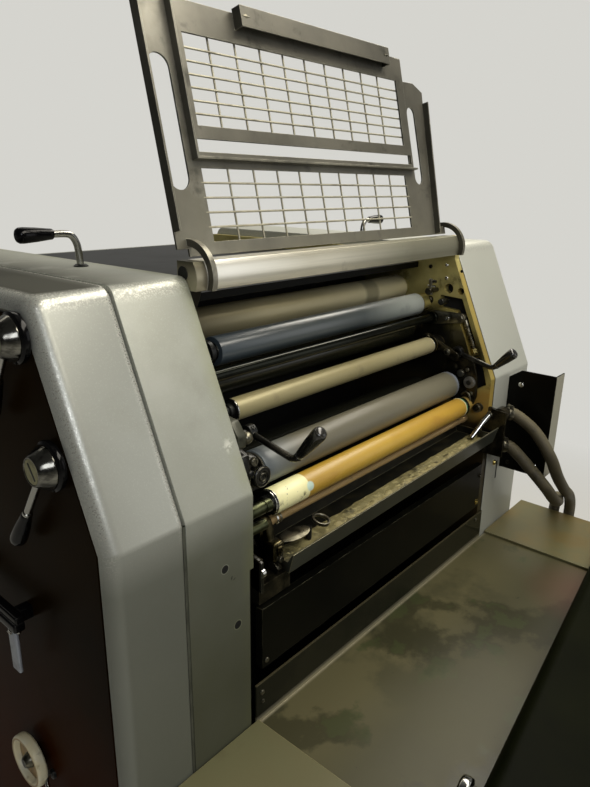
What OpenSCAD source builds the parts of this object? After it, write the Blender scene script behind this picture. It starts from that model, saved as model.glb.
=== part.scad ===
// Single-colour offset printing press: one printing tower with its roller bay open,
// a wire guard raised over it, a steel table with a hood in front, side controls.
// X runs across the machine, Y from front to back, Z up from the floor.

/* [Tower] */
// Clear width between the two inner covers
opening_w = 720; // [716:1:740]
// Depth of the tower, front to back
tower_d = 960; // [900:1:1040]
// Height of the tower
tower_h = 1439; // [1436:1:1446]
// How far below the top the front starts to slope back
bend_drop = 266; // [254:1:279]
// How far the front slopes back to the top
slope_run = 118; // [112:1:124]
// Width of the inner cover on the operator's side
strip_w = 112; // [90:1:140]
// Width of the outer cover on the operator's side
outer_cover_w = 100; // [90:1:130]
// Shadow gap between these two covers
cover_gap = 4; // [3:0.5:8]
// How deep the shadow gap runs
cover_gap_deep = 20; // [10:1:30]
// Width of the cover on the drive side
drive_cover_w = 183; // [150:1:220]
// Rounding of the covers' outer edges
corner_r = 22; // [12:1:24]
// Rounding of the outer cover's edge beside the shadow gap
gap_r = 8; // [4:1:12]
// Grey rim left round the side panel
panel_rim = 26; // [25:1:27]
// Depth of the side panel's recess
panel_recess = 6; // [4:0.5:10]
// Thickness of the side panel
panel_t = 4.5; // [3:0.5:5]
// Thickness of the two side frames
frame_t = 18; // [16:1:20]
// Set-back of the drive-side frame behind the cover
frame_inset = 2; // [1:0.5:4]
// Set-back of the operator-side frame behind the cover
op_frame_inset = 24; // [20:1:26]
// How far the side frames end below the covers' top
frame_drop = 18; // [16:1:20]
// Height of the plinth under the machine
base_h = 60; // [40:1:90]
// Set-back of the plinth under the covers
toe = 16; // [10:1:40]
// How far the top between the covers is sunk
well_drop = 39; // [34:1:44]
// Thickness of the top and back covers
sheet_t = 12; // [8:1:16]
// How far the dark bulkhead stands behind the front
bulkhead_back = 330; // [310:1:360]

/* [Table and hood] */
// How far the table lies below the tower's top
table_drop = 639; // [633:1:649]
// Thickness of the table plate
plate_t = 4; // [3:0.5:6]
// Left edge of the middle plate
plate_x0 = -355; // [-358:1:-340]
// Right edge of the middle plate
plate_x1 = 384; // [362:1:400]
// Height of the upturned back edge
flange_h = 67; // [50:1:70]
// Height of the dark panel above the slot
panel_h = 100; // [60:1:104]
// How far the rails stand above the table
rail_rise = 6; // [3:1:8]
// Outer edge of the rail on the operator's side
rail_x0 = -566; // [-576:1:-562]
// Outer edge of the rail on the drive side
rail_x1 = 593; // [585:1:600]
// How far the front housing reaches forward
housing_reach = 480; // [440:1:560]
// Height of the hood over its base
hood_h = 44; // [36:1:60]
// Depth of the hood
hood_d = 190; // [160:1:210]
// How far the hood's inner edge stands behind its pin
hood_back = 150; // [130:1:152]
// Rounding of the hood's inner edge
hood_r = 24; // [14:1:30]
// How far the hood stands open, in degrees
hood_open = 6.2; // [5:0.1:7]
// Diameter of the hood's knob
knob_d = 44; // [36:1:46]

/* [Guard] */
// How far the raised guard leans back, in degrees
guard_lean = 13.4; // [12.5:0.1:14]
// How far the guard's left edge is from the operator's cover
guard_left = 2; // [2:1:8]
// How far the guard's right edge is from the drive cover
guard_right = 45; // [40:1:60]
// Height of the guard plate
guard_h = 332; // [300:1:345]
// Thickness of the guard's sheet
guard_t = 3; // [2.5:0.5:4]
// Depth of the guard's folded edges
guard_fold = 12; // [8:1:14]
// Thickness of the mesh bars
bar_t = 3; // [2.5:0.5:4]
// Number of cells across the mesh
mesh_cols = 10; // [8:1:12]
// Number of cells up the lower mesh
lower_rows = 5; // [4:1:6]
// Number of cells up the upper mesh
upper_rows = 7; // [5:1:8]
// Radius of the bar that carries the guard
cross_bar_r = 38; // [37:0.5:38]
// Width of the hooks round the bar
hook_w = 8; // [6:1:10]
// Thickness of the hooks round the bar
hook_t = 9.5; // [8:0.5:11]

/* [Rollers] */
// Gap between the roller bodies and the operator's cover
roller_gap_l = 90; // [84:1:100]
// Gap between the roller bodies and the drive cover
roller_gap_r = 58; // [54:1:64]
// Radius of the roller journals
journal_r = 8; // [7:0.5:9]
// Radius of the ink drum
drum_r = 27; // [24:0.5:28]
// Radius of the upper rubber roller
upper_r = 22.5; // [20:0.5:23]
// Radius of the dark roller
dark_r = 24; // [20:0.5:25]
// Radius of the linkage shaft
shaft_r = 9; // [8:0.5:10]
// Radius of the steel roller
steel_r = 17.5; // [15:0.5:18]
// Radius of the form roller
form_r = 28; // [25:0.5:29]
// Radius of the damping roller
damp_r = 20.2; // [18:0.1:20.4]
// Radius of the plate cylinder behind them
plate_r = 45; // [40:1:46]
// Radius of the plate cylinder's journals
plate_journal_r = 14; // [12:0.5:15]
// Radius of the thin rod over the pan
rod_r = 7.5; // [6:0.5:7.5]
// Width of the bearing bosses round the journals
boss_wall = 9; // [7:0.5:10]
// Running clearance round journals and pins
run = 0.05; // [0.03:0.01:0.08]

/* [Water pan] */
// Length of the pan
pan_l = 620; // [600:1:622]
// Depth of the pan's front wall
pan_wall = 34; // [28:1:38]
// Thickness of the pan's sheet
pan_t = 2.5; // [2:0.5:3]

/* [Levers and controls] */
// Diameter of the crank rods
crank_d = 10; // [8:1:12]
// Diameter of the black grips at their thick end
grip_d = 22; // [18:1:24]
// Diameter of the chrome dials
dial_d = 50; // [44:1:56]
// Diameter of the ring handwheel
wheel_d = 80; // [70:1:90]
// Outer diameter of the hoses
hose_d = 25; // [22:1:26]

/* [Hidden] */

$fn = 48;
seat = 0.3;
hd = tower_d / 2;
in_x = opening_w / 2;
bend_z = tower_h - bend_drop;
table_z = tower_h - table_drop;
slope_a = atan2(bend_drop, slope_run);
op_in = -in_x - strip_w;
op_mid = op_in - cover_gap;
op_out = op_mid - outer_cover_w;
dr_out = in_x + drive_cover_w;
fr_in = in_x - frame_t;
frame_top = tower_h - frame_drop;
well_z = tower_h - well_drop;
bulkhead_y = bulkhead_back - hd;
housing_y1 = -hd - housing_reach;
housing_z = table_z - plate_t;
roller_x0 = roller_gap_l - in_x;
roller_x1 = in_x - roller_gap_r;

// How far below the bend the inner cover is notched beside the bay
notch_drop = 110;

// Places in the side view: [behind the front face, below the top]
drum_at = [230, 96];
upper_at = [172, 124];
dark_at = [190, 177];
shaft_at = [142, 152];
steel_at = [133, 207];
form_at = [84.5, 286];
plate_at = [152.7, 323.9];
damp_at = [50.5, 327.8];
rod_at = [52.5, 360.4];
guard_at = [124, -3];
bar_at = [135, 3];
op_crank_at = [105, 237];
op_elbow_at = [15, 256];
op_tip_at = [-33, 199];
dr_crank_at = [76, 216];
dr_elbow_at = [-4, 237];
dr_tip_at = [-47, 195];
spring_top_at = [79, 146];
spring_low_at = [45, 219];
upper_dial_at = [138, 47];
lower_dial_at = [90, 182];
wheel_at = [231, 686];
pan_at = [35, 399];
clamp_up_at = [-23, 339];
clamp_low_at = [-20, 409];
side_bar_at = [179, 434];
function spot(p) = [p[0] - hd, tower_h - p[1]];

drum_c = spot(drum_at);
upper_c = spot(upper_at);
dark_c = spot(dark_at);
shaft_c = spot(shaft_at);
steel_c = spot(steel_at);
form_c = spot(form_at);
plate_c = spot(plate_at);
damp_c = spot(damp_at);
rod_c = spot(rod_at);
guard_c = spot(guard_at);
bar_c = spot(bar_at);
op_crank_c = spot(op_crank_at);
dr_crank_c = spot(dr_crank_at);
spring_top_c = spot(spring_top_at);
spring_low_c = spot(spring_low_at);
clamp_up = spot(clamp_up_at);
clamp_low = spot(clamp_low_at);
upper_dial_c = spot(upper_dial_at);
lower_dial_c = spot(lower_dial_at);
wheel_c = spot(wheel_at);
spring_d = spring_low_c - spring_top_c;
spring_a = atan2(spring_d[1], spring_d[0]);
spring_l = norm(spring_d);
// How much further than the rest each roller reaches, [left, right]
drum_more = [0, 18];
upper_more = [1, 4];
steel_more = [2, 0];
form_more = [4, 10];
damp_more = [10, 4];
shoulder = 8;
shoulder_r = 13;
// Guard drawings, in x from the bay's middle and in height up its sheet
guard_base = [0, 27];
guard_foot = [8, 13];
guard_step = [[15, 272], [-16, 286], [-64, 285]];
guard_window = [-293, 214, 15, 112];
left_slot = [-350, -316, 83, 252];
right_slot = [249, 276, 96, 240];
upper_panel = [-306, 243, 121, 324];
upper_window = [-288, 219, 166, 283];
strip_gap = [-294, 238, 132, 149];
handle = [-188, 182, 301, 328];
handle_deep = 16;
handle_wall = 3;
ear_r = 16;
bar_front = 45;
bar_rise = 22;
// Opening in the drive frame, [behind the front face, below the top]
cut_rim = 12;
cut_top = [134, 104];
cut_top_low = [134, 130];
cut_knee = [95, 134];
cut_mid = [68, 189];
cut_low = [54, 224];
cut_foot = [54, 279];
cut_toe = [40, 296];
cut_front = [107, 187, 249, 279];
small_holes = [[116, 89, 10], [88, 92, 7]];
spring_block = [8, 60];
ear_foot = 20;
bar_neck = 26;
boss_gap = 3;
// Pan: middle in x, its tilt, and the bracket under it
pan_x = 23;
pan_tilt = [0, -2.5, -2];
pan_floor_drop = 8;
pan_mid = [pan_x, pan_at[0] - hd, tower_h - pan_at[1]];
pan_floor = pan_mid[2] - pan_floor_drop;
pan_half = 44;
bracket_w = 40;
bracket_low = 449;
// Side guard plate, from the drive cover's inner face, the front face and the table
guard_plate_x = [70, 114];
guard_plate_y = [-101, -26];
guard_plate_z = [152, 357, 381];
// Hood and its pin
hood_pin = [rail_x1 - 45, housing_y1 + 110];
hood_z = table_z + rail_rise + seat;
hood_boss_r = 20;
hood_boss_h = 60;
knob_in = 822;
// Side bar on the operator's panel
bar_l = 215;
bar_h = 22;
bar_deep = 16;
bar_stand = 34;
bar_post = 20;
back_post = [44, 30];
front_post = [15, 16];
bar_lever = [11, 20, 70, 8];
// Levers on top, from the middle of the press and of the bay
top_lever_p = [-in_x - 38, -180];
rear_lever_p = [in_x + 12, -113];
// Crank arms' middle planes
op_arm_x = 98 - in_x;
dr_arm_x = in_x - 32;
pin_r = 7;
// Hose routes: bends are [share of the way across, y from the clamp, share of the height]
inlet_box = [45, 86, 40];
inlet_sink = 13;
inlet_front = 30;
inlet_drop = 160;
upper_bends = [[0.073, -17, 0.993], [0.122, -59, 0.926], [0.154, -95, 0.817], [0.301, -104, 0.7],
    [0.561, -103, 0.583], [0.821, -98, 0.491], [0.967, -93, 0.387], [1.004, -89, 0.239],
    [1, -87, 0.109]];
lower_bends = [[0.072, -20, 0.985], [0.128, -56, 0.892], [0.192, -94, 0.779], [0.344, -104, 0.677],
    [0.6, -94, 0.595], [0.848, -72, 0.544], [0.976, -60, 0.436], [1.004, -56, 0.256],
    [1, -54, 0.128]];
inlet_x = rail_x1 + 19;
inlet_z = table_z - inlet_drop + seat;
upper_from = [in_x + 6, clamp_up[0], clamp_up[1]];
lower_from = [in_x + 2, clamp_low[0], clamp_low[1]];
function route(a, bends) = concat([a], [for (b = bends)
        [a[0] + (inlet_x - a[0]) * b[0], a[1] + b[1], inlet_z + (a[2] - inlet_z) * b[2]]],
    [[inlet_x, a[1] + bends[len(bends) - 1][1], inlet_z]]);

// Outline of the tower seen from the side, set in by i, from height z0 up
function front_y(z, i) = z <= bend_z - i * (1 - sin(slope_a)) / cos(slope_a)
    ? -hd + i
    : -hd + i / sin(slope_a) + (z - bend_z) / tan(slope_a);
function side_profile(i, z0, z1) = let (
        bz = bend_z - i * (1 - sin(slope_a)) / cos(slope_a),
        y1 = front_y(z1, i)
    ) [[-hd + i, z0], [-hd + i, bz], [y1, z1], [-y1, z1], [hd - i, bz], [hd - i, z0]];

// Extrudes a drawing of y and z from x0 to x1
module along_x(x0, x1) {
    translate([x0, 0, 0])
        rotate([90, 0, 90])
            linear_extrude(x1 - x0)
                children();
}

module side_block(x0, x1, i, z0, z1) {
    along_x(x0, x1)
        polygon(side_profile(i, z0, z1));
}

module rod_x(x0, x1, c, r) {
    along_x(x0, x1)
        translate(c)
            circle(r);
}

// Balls at the upper corners and short rods at the foot of the tower's side outline
module cover_corners(x, r) {
    pts = side_profile(r, base_h, tower_h - r);
    for (k = [1, 2, 3, 4])
        translate([x, pts[k][0], pts[k][1]])
            sphere(r, $fn = 32);
    for (k = [0, 5])
        translate([x, pts[k][0], base_h])
            cylinder(h = 1, r = r, $fn = 32);
}

// A cover with rounded edges; xi is the inner face, xo the outer one
module rounded_cover(xi, xo, inner_r) {
    s = xo > xi ? 1 : -1;
    hull() {
        if (inner_r > 0)
            cover_corners(xi + s * inner_r, inner_r);
        else
            side_block(min(xi, xi + s), max(xi, xi + s), 0, base_h, tower_h);
        cover_corners(xo - s * corner_r, corner_r);
    }
}

// Tube through a smooth line of points
function lerp_c(a, b, c, d, t) = 0.5 * (2 * b + (c - a) * t + (2 * a - 5 * b + 4 * c - d) * t * t
    + (3 * b - a - 3 * c + d) * t * t * t);
function smooth(p, k) = [for (i = [0 : len(p) - 2]) for (j = [0 : k - 1])
        lerp_c(p[max(i - 1, 0)], p[i], p[i + 1], p[min(i + 2, len(p) - 1)], j / k),
    p[len(p) - 1]];
function unit(v) = v / norm(v);
function tangents(p) = [for (i = [0 : len(p) - 1])
    unit(p[min(i + 1, len(p) - 1)] - p[max(i - 1, 0)])];

module tube(p, r, n, ref) {
    t = tangents(p);
    m = len(p);
    pts = [for (i = [0 : m - 1]) let (u = unit(cross(t[i], ref)), v = cross(t[i], u))
        for (k = [0 : n - 1]) p[i] + r * (cos(360 * k / n) * u + sin(360 * k / n) * v)];
    side = [for (i = [0 : m - 2]) for (k = [0 : n - 1]) [i * n + k, i * n + (k + 1) % n,
        (i + 1) * n + (k + 1) % n, (i + 1) * n + k]];
    ends = [[for (k = [n - 1 : -1 : 0]) k], [for (k = [0 : n - 1]) (m - 1) * n + k]];
    polyhedron(pts, concat(side, ends), convexity = 4);
}

module machine_base() {
    color("#26282a")
        union() {
            translate([op_out + toe, -hd + toe, 0])
                cube([dr_out - op_out - 2 * toe, tower_d - 2 * toe, base_h]);
            translate([rail_x0 + 2 * toe, housing_y1 + toe, 0])
                cube([rail_x1 - rail_x0 - 4 * toe, housing_reach + 2 * toe, base_h]);
        }
}

module operator_inner_cover() {
    step_z = bend_z - notch_drop;
    color("#8d9192")
        difference() {
            union() {
                side_block(op_in, -in_x, 0, base_h, tower_h);
                side_block(op_mid, op_in, cover_gap_deep, base_h, tower_h - cover_gap_deep);
                translate([top_lever_p[0], top_lever_p[1], tower_h])
                    cylinder(h = 16, r = 14);
            }
            translate([-in_x - shoulder, -hd - 1, base_h - 1])
                cube([shoulder + 1, op_frame_inset, step_z - base_h + 1]);
            translate([top_lever_p[0], top_lever_p[1], tower_h - 20])
                cylinder(h = 60, r = crank_d / 2 + run);
        }
}

module operator_outer_cover() {
    color("#8d9192")
        difference() {
            rounded_cover(op_mid, op_out, gap_r);
            side_block(op_out - 5, op_out + panel_recess, panel_rim, base_h + panel_rim,
                tower_h - panel_rim);
        }
}

module operator_side_panel() {
    x1 = op_out + panel_recess;
    color("#161514")
        difference() {
            side_block(x1 - panel_t, x1, panel_rim + seat, base_h + panel_rim + seat,
                tower_h - panel_rim - seat);
            rod_x(x1 - 20, x1 + 20, upper_dial_c, journal_r + run);
            rod_x(x1 - 20, x1 + 20, lower_dial_c, journal_r + run);
            rod_x(x1 - 20, x1 + 20, wheel_c, journal_r + run);
        }
}

module drive_cover() {
    color("#8d9192")
        union() {
            rounded_cover(in_x, dr_out, 0);
        }
}

module top_cover() {
    y0 = bar_c[0] + 58;
    y1 = -front_y(well_z, frame_inset + sheet_t);
    color("#5b5e5f")
        translate([-fr_in, y0, well_z - sheet_t])
            cube([2 * fr_in, y1 - y0, sheet_t]);
}

module rear_cover() {
    color("#84888a")
        difference() {
            side_block(-fr_in, fr_in, frame_inset, base_h, well_z);
            side_block(-fr_in - 1, fr_in + 1, frame_inset + sheet_t, base_h - 1, well_z + 1);
            translate([-fr_in - 1, -hd - 1, base_h - 1])
                cube([2 * fr_in + 2, hd + 201, tower_h]);
        }
}

module inner_bulkhead() {
    color("#121212")
        translate([-fr_in, bulkhead_y, base_h])
            cube([2 * fr_in, sheet_t, well_z - sheet_t - base_h]);
}

// The cross bar's rounded outline
module bar_profile() {
    intersection() {
        translate(bar_c)
            circle(cross_bar_r);
        translate([bar_c[0] - bar_front, frame_top])
            square([bar_front, bar_c[1] + bar_rise - frame_top]);
    }
}

// Side frame from x0 inward, set back by i, bored for all journals
module frame_plate(x0, i) {
    difference() {
        union() {
            side_block(x0, x0 + frame_t, i, base_h, frame_top);
            children();
        }
        rod_x(x0 - 1, x0 + frame_t + 1, guard_c, journal_r + run);
        for (c = [drum_c, upper_c, dark_c, shaft_c, steel_c, form_c, damp_c])
            rod_x(x0 - 30, x0 + frame_t + 30, c, journal_r + run);
        rod_x(x0 - 30, x0 + frame_t + 30, plate_c, plate_journal_r + run);
        rod_x(x0 - 1, x0 + frame_t + 1, rod_c, rod_r + run);
    }
}

module operator_frame() {
    color("#3c3a30")
        difference() {
            frame_plate(-in_x, op_frame_inset)
                along_x(-in_x, -fr_in)
                    union() {
                        bar_profile();
                        polygon([[bar_c[0] - bar_neck - 1, frame_top + 1],
                            [bar_c[0] - bar_neck / 2 - 2, frame_top - bar_neck],
                            [bar_c[0] + bar_neck / 2 + 2, frame_top - bar_neck],
                            [bar_c[0], frame_top + 1]]);
                    }
            rod_x(-in_x - 1, -fr_in + 1, op_crank_c, pin_r + run);
        }
}

// Bearing boss on the drive frame's inner face, up to the roller's shoulder
module boss(c, r, more) {
    rod_x(roller_x1 + more + shoulder + boss_gap, fr_in + 1, c, r + boss_wall);
}

module drive_frame() {
    color("#6b6238")
        difference() {
            frame_plate(fr_in, frame_inset)
                union() {
                    rod_x(fr_in, in_x, guard_c, ear_r);
                    translate([fr_in, guard_c[0] - ear_r, frame_top - ear_foot])
                        cube([frame_t, 2 * ear_r, guard_c[1] - frame_top + ear_foot]);
                    boss(drum_c, journal_r, drum_more[1]);
                    boss(upper_c, journal_r, upper_more[1]);
                    boss(dark_c, journal_r, 0);
                    boss(steel_c, journal_r, steel_more[1]);
                    boss(form_c, journal_r, form_more[1]);
                    boss(damp_c, journal_r, damp_more[1]);
                    boss(plate_c, plate_journal_r, 0);
                }
            rod_x(fr_in - 1, in_x + 1, dr_crank_c, pin_r + run);
            for (h = small_holes)
                rod_x(fr_in - 1, in_x + 1, spot(h), h[2]);
            along_x(fr_in - 1, in_x + 1)
                difference() {
                    polygon(concat([for (p = [cut_top, cut_top_low, cut_knee, cut_mid, cut_low,
                        cut_foot, cut_toe]) spot(p)], [for (k = [3, 2, 1, 0])
                        [front_y(tower_h - cut_front[k], cut_rim), tower_h - cut_front[k]]]));
                    translate(spring_top_c)
                        rotate(spring_a)
                            translate([spring_l + seat, -spring_block[1] / 2])
                                square(spring_block);
                }
        }
}

module front_panel() {
    color("#1a1b1b")
        translate([-fr_in, -hd + frame_inset, table_z + flange_h + 18])
            cube([2 * fr_in, 12, panel_h]);
}

module front_housing() {
    pin_h = hood_boss_h + hood_z - housing_z;
    color("#7f8384")
        union() {
            translate([rail_x0 + 6, housing_y1, base_h])
                cube([rail_x1 - rail_x0 - inlet_sink - 6, housing_reach - 2, housing_z - base_h]);
            translate([rail_x1 - inlet_sink, upper_from[1] + upper_bends[8][1] - inlet_front,
                table_z - inlet_drop - inlet_box[2]])
                cube(inlet_box);
            translate([hood_pin[0], hood_pin[1], housing_z - hood_boss_h])
                cylinder(h = pin_h - seat, r = hood_boss_r);
            translate([hood_pin[0], hood_pin[1], housing_z - hood_boss_h])
                cylinder(h = pin_h + hood_h - 10, r = journal_r);
        }
}

module table_plate() {
    color("#5d574d")
        union() {
            translate([plate_x0, housing_y1 + 10, housing_z])
                cube([plate_x1 - plate_x0, housing_reach - 12, plate_t]);
            translate([-in_x + 1, -hd - 2, table_z - plate_t])
                cube([opening_w - 2, 3, flange_h + plate_t]);
        }
}

module operator_table_rail() {
    color("#777368")
        translate([rail_x0, housing_y1 + 10, housing_z])
            cube([plate_x0 - rail_x0, housing_reach - 12, plate_t + rail_rise]);
}

module drive_table_rail() {
    color("#777368")
        difference() {
            translate([plate_x1, housing_y1 + 10, housing_z])
                cube([rail_x1 - plate_x1, housing_reach - 12, plate_t + rail_rise]);
            translate([hood_pin[0], hood_pin[1], housing_z - 1])
                cylinder(h = 40, r = hood_boss_r + seat);
        }
}

// The hood, drawn closed with its pin at the origin, then swung open
module hood_place() {
    translate([hood_pin[0], hood_pin[1], hood_z])
        rotate([0, 0, hood_open])
            children();
}

module front_hood() {
    l = hood_pin[0] - rail_x0 - 20;
    color("#1e2420")
        hood_place()
            difference() {
                along_x(-l, 30)
                    union() {
                        translate([hood_back - hood_d, 0])
                            square([hood_d - hood_r, hood_h]);
                        translate([hood_back - hood_r - 1, 0])
                            square([hood_r + 1, hood_h - hood_r]);
                        intersection() {
                            translate([hood_back - hood_r, hood_h - hood_r])
                                circle(hood_r);
                            translate([hood_back - hood_r, hood_h - hood_r])
                                square(hood_r);
                        }
                    }
                translate([0, 0, -1])
                    cylinder(h = hood_h - 8, r = journal_r + run);
            }
}

module hood_knob() {
    color("#b9bab6")
        hood_place()
            translate([-knob_in, hood_back, knob_d / 2 + 2])
                rotate([-90, 0, 0])
                    union() {
                        cylinder(h = 8, r = knob_d / 3);
                        translate([0, 0, 8])
                            cylinder(h = 16, r = knob_d / 2);
                    }
}

module cross_bar() {
    color("#8e8c86")
        union() {
            along_x(-fr_in + seat, fr_in - seat)
                bar_profile();
            rod_x(-in_x + 2, in_x - 2, guard_c, journal_r);
        }
}

// Drawings in x and height up the raised guard, d in front of its sheet
module guard_place(d) {
    translate([0, bar_c[0] + guard_base[0], bar_c[1] + guard_base[1]])
        rotate([90 - guard_lean, 0, 0])
            translate([0, 0, d])
                children();
}

module box_2d(b) {
    translate([b[0], b[2]])
        square([b[1] - b[0], b[3] - b[2]]);
}

module slot_2d(b) {
    r = (b[1] - b[0]) / 2;
    hull() {
        translate([b[0] + r, b[2] + r])
            circle(r, $fn = 32);
        translate([b[0] + r, b[3] - r])
            circle(r, $fn = 32);
    }
}

module guard_frame() {
    x0 = guard_left - in_x;
    x1 = in_x - guard_right - 15;
    hook_x = fr_in - 1;
    tab_x = hook_x - 2;
    r1 = cross_bar_r + seat;
    color("#2c2d2e")
        union() {
            guard_place(-guard_t / 2)
                linear_extrude(guard_t)
                    difference() {
                        polygon([[x0, guard_foot[0]], [-tab_x, guard_foot[0]], [-tab_x, -2],
                            [tab_x, -2], [tab_x, guard_foot[1]], [x1, guard_foot[1]],
                            [x1 + guard_step[0][0], guard_step[0][1]],
                            [x1 + guard_step[1][0], guard_step[1][1]],
                            [x1 + guard_step[2][0], guard_step[2][1]],
                            [upper_panel[1] - 7, upper_panel[2] + 4],
                            [upper_panel[0] + 6, upper_panel[2] + 4],
                            [upper_panel[0] + 6, guard_h], [x0, guard_h]]);
                        box_2d(guard_window);
                        slot_2d(left_slot);
                        slot_2d(right_slot);
                    }
            guard_place(guard_t / 2)
                translate([x0, 30, 0])
                    cube([guard_t, guard_h - 30, guard_fold]);
            guard_place(guard_t / 2)
                rotate([0, 0, -atan2(guard_step[0][0], guard_step[0][1])])
                    translate([x1 - guard_t, 16, 0])
                        cube([guard_t, guard_step[0][1] - 20, guard_fold]);
            for (x = [-hook_x, hook_x - hook_w])
                along_x(x, x + hook_w)
                    difference() {
                        translate(bar_c)
                            circle(r1 + hook_t);
                        translate(bar_c)
                            circle(r1);
                        translate([bar_c[0] + 2, bar_c[1] - 80])
                            square([80, 106]);
                        translate([bar_c[0] - 80, bar_c[1] - 80])
                            square([160, 65]);
                        translate([bar_c[0] + 12, bar_c[1]])
                            square([60, 60]);
                    }
        }
}

module mesh(b, nx, ny) {
    dx = (b[1] - b[0]) / nx;
    dy = (b[3] - b[2]) / ny;
    for (j = [1 : ny - 1])
        translate([b[0] - 5, b[2] + j * dy - bar_t / 2, -bar_t])
            cube([b[1] - b[0] + 10, bar_t, bar_t]);
    for (i = [1 : nx - 1])
        translate([b[0] + i * dx - bar_t / 2, b[2] - 5, -1.8 * bar_t])
            cube([bar_t, b[3] - b[2] + 10, bar_t]);
}

module guard_mesh() {
    color("#6f6c64")
        guard_place(-guard_t / 2)
            mesh(guard_window, mesh_cols, lower_rows);
}

module upper_guard_frame() {
    w = upper_panel[1] - upper_panel[0];
    h = upper_panel[3] - upper_panel[2];
    color("#2c2d2e")
        guard_place(guard_t / 2)
            union() {
                linear_extrude(guard_t)
                    difference() {
                        box_2d(upper_panel);
                        box_2d(upper_window);
                        box_2d(strip_gap);
                    }
                translate([upper_panel[0], upper_panel[2], guard_t])
                    cube([guard_t, h, guard_fold - guard_t]);
                translate([upper_panel[0], upper_panel[2], guard_t])
                    cube([w, guard_t, guard_fold - guard_t]);
                translate([handle[0], handle[2], guard_t])
                    difference() {
                        cube([handle[1] - handle[0], handle[3] - handle[2] + 1, handle_deep]);
                        translate([handle_wall, -1, -1])
                            cube([handle[1] - handle[0] - 2 * handle_wall,
                                handle[3] - handle[2] - 1, handle_deep - 1]);
                    }
            }
}

module upper_guard_mesh() {
    color("#6f6c64")
        guard_place(guard_t / 2)
            mesh(upper_window, mesh_cols, upper_rows);
}

// Roller with a stepped end on each side and journals in both frames
module roller(c, r, more, shade, journal = journal_r) {
    color(shade)
        union() {
            rod_x(roller_x0 - more[0], roller_x1 + more[1], c, r);
            rod_x(roller_x0 - more[0] - shoulder, roller_x1 + more[1] + shoulder, c,
                max(journal + 1, min(r - 2, shoulder_r)));
            rod_x(-in_x + 2, in_x - 2, c, journal);
        }
}

module ink_drum() {
    roller(drum_c, drum_r, drum_more, "#3a332c");
}

module upper_rubber_roller() {
    roller(upper_c, upper_r, upper_more, "#39414a");
}

module dark_roller() {
    roller(dark_c, dark_r, [0, 0], "#191a1b");
}

module steel_roller() {
    roller(steel_c, steel_r, steel_more, "#6e675a");
}

module form_roller() {
    roller(form_c, form_r, form_more, "#525a66");
}

module plate_cylinder() {
    roller(plate_c, plate_r, [0, 0], "#151615", plate_journal_r);
}

module damping_roller() {
    roller(damp_c, damp_r, damp_more, "#b07a3c");
}

module linkage_shaft() {
    crank_t = 12;
    color("#202122")
        union() {
            rod_x(-fr_in + seat, fr_in - crank_t, shaft_c, shaft_r);
            rod_x(-in_x + 2, in_x - 2, shaft_c, journal_r);
            rod_x(fr_in - crank_t - 8, fr_in - crank_t + 1, shaft_c, shaft_r + 5);
            along_x(fr_in - crank_t, fr_in - seat)
                union() {
                    hull() {
                        translate(shaft_c)
                            circle(15, $fn = 32);
                        translate(spring_top_c)
                            circle(10, $fn = 32);
                    }
                }
            rod_x(fr_in - crank_t, in_x - 3, spring_top_c, 5);
        }
}

module pan_rod() {
    color("#8a5a3a")
        rod_x(-in_x + 2, in_x - 2, rod_c, rod_r);
}

module pan_place() {
    translate(pan_mid)
        rotate(pan_tilt)
            translate(-pan_mid)
                children();
}

module water_pan() {
    x0 = pan_mid[0] - pan_l / 2;
    x1 = pan_mid[0] + pan_l / 2;
    top = pan_floor + pan_wall;
    yf = pan_mid[1] - pan_half - 1;
    yr = pan_mid[1] + pan_half - 3;
    end_h = pan_wall * 0.53;
    color("#4a4740")
        pan_place()
            difference() {
                along_x(x0, x1)
                    polygon([[yf - 10, top], [yf, pan_floor], [yr, pan_floor], [yr + 12, top + 6],
                        [yr + 12 - pan_t, top + 6], [yr - pan_t, pan_floor + end_h],
                        [yf + 2, pan_floor + end_h], [yf - 10 + pan_t, top]]);
                along_x(x0 + pan_t, x1 - pan_t)
                    polygon([[yf - 10 + pan_t, top + 1], [yf + pan_t, pan_floor + pan_t],
                        [yr - pan_t, pan_floor + pan_t], [yr + 12 - pan_t, top + 7]]);
            }
}

module pan_brackets() {
    left_x = pan_mid[0] - pan_l / 2 + 10;
    y0 = pan_mid[1] - 27;
    z0 = tower_h - bracket_low;
    color("#2a2926")
        union() {
            translate([-fr_in, y0, z0])
                cube([fr_in + left_x, bracket_w, 28.1]);
            translate([-fr_in, y0, z0])
                cube([8, bracket_w, 70]);
            along_x(fr_in - 5, fr_in)
                polygon([[clamp_up[0] - 17, clamp_low[1] - 17], [clamp_up[0] - 17, clamp_up[1] + 12],
                    [clamp_up[0] + 14, clamp_up[1] + 14], [clamp_up[0] + 22, clamp_up[1] - 12],
                    [y0 + bracket_w - 10, pan_floor + 20], [y0 + bracket_w - 10, clamp_low[1] - 17]]);
            translate([fr_in - 20, y0 - 12, z0 + 30])
                cube([16, bracket_w + 2, 24.8]);
            rod_x(fr_in, upper_from[0], clamp_up, 16);
            rod_x(fr_in, lower_from[0], clamp_low, 14);
        }
}

// Tapered grip along a line from a, in direction d
module grip(a, d, l) {
    translate(a)
        rotate(d)
            rotate_extrude()
                polygon([[0, 0], [grip_d * 0.3, 0], [grip_d * 0.36, 3], [grip_d / 2, l - 6],
                    [grip_d / 2 - 2, l - 1.5], [grip_d / 2 - 5, l], [0, l]]);
}

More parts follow.
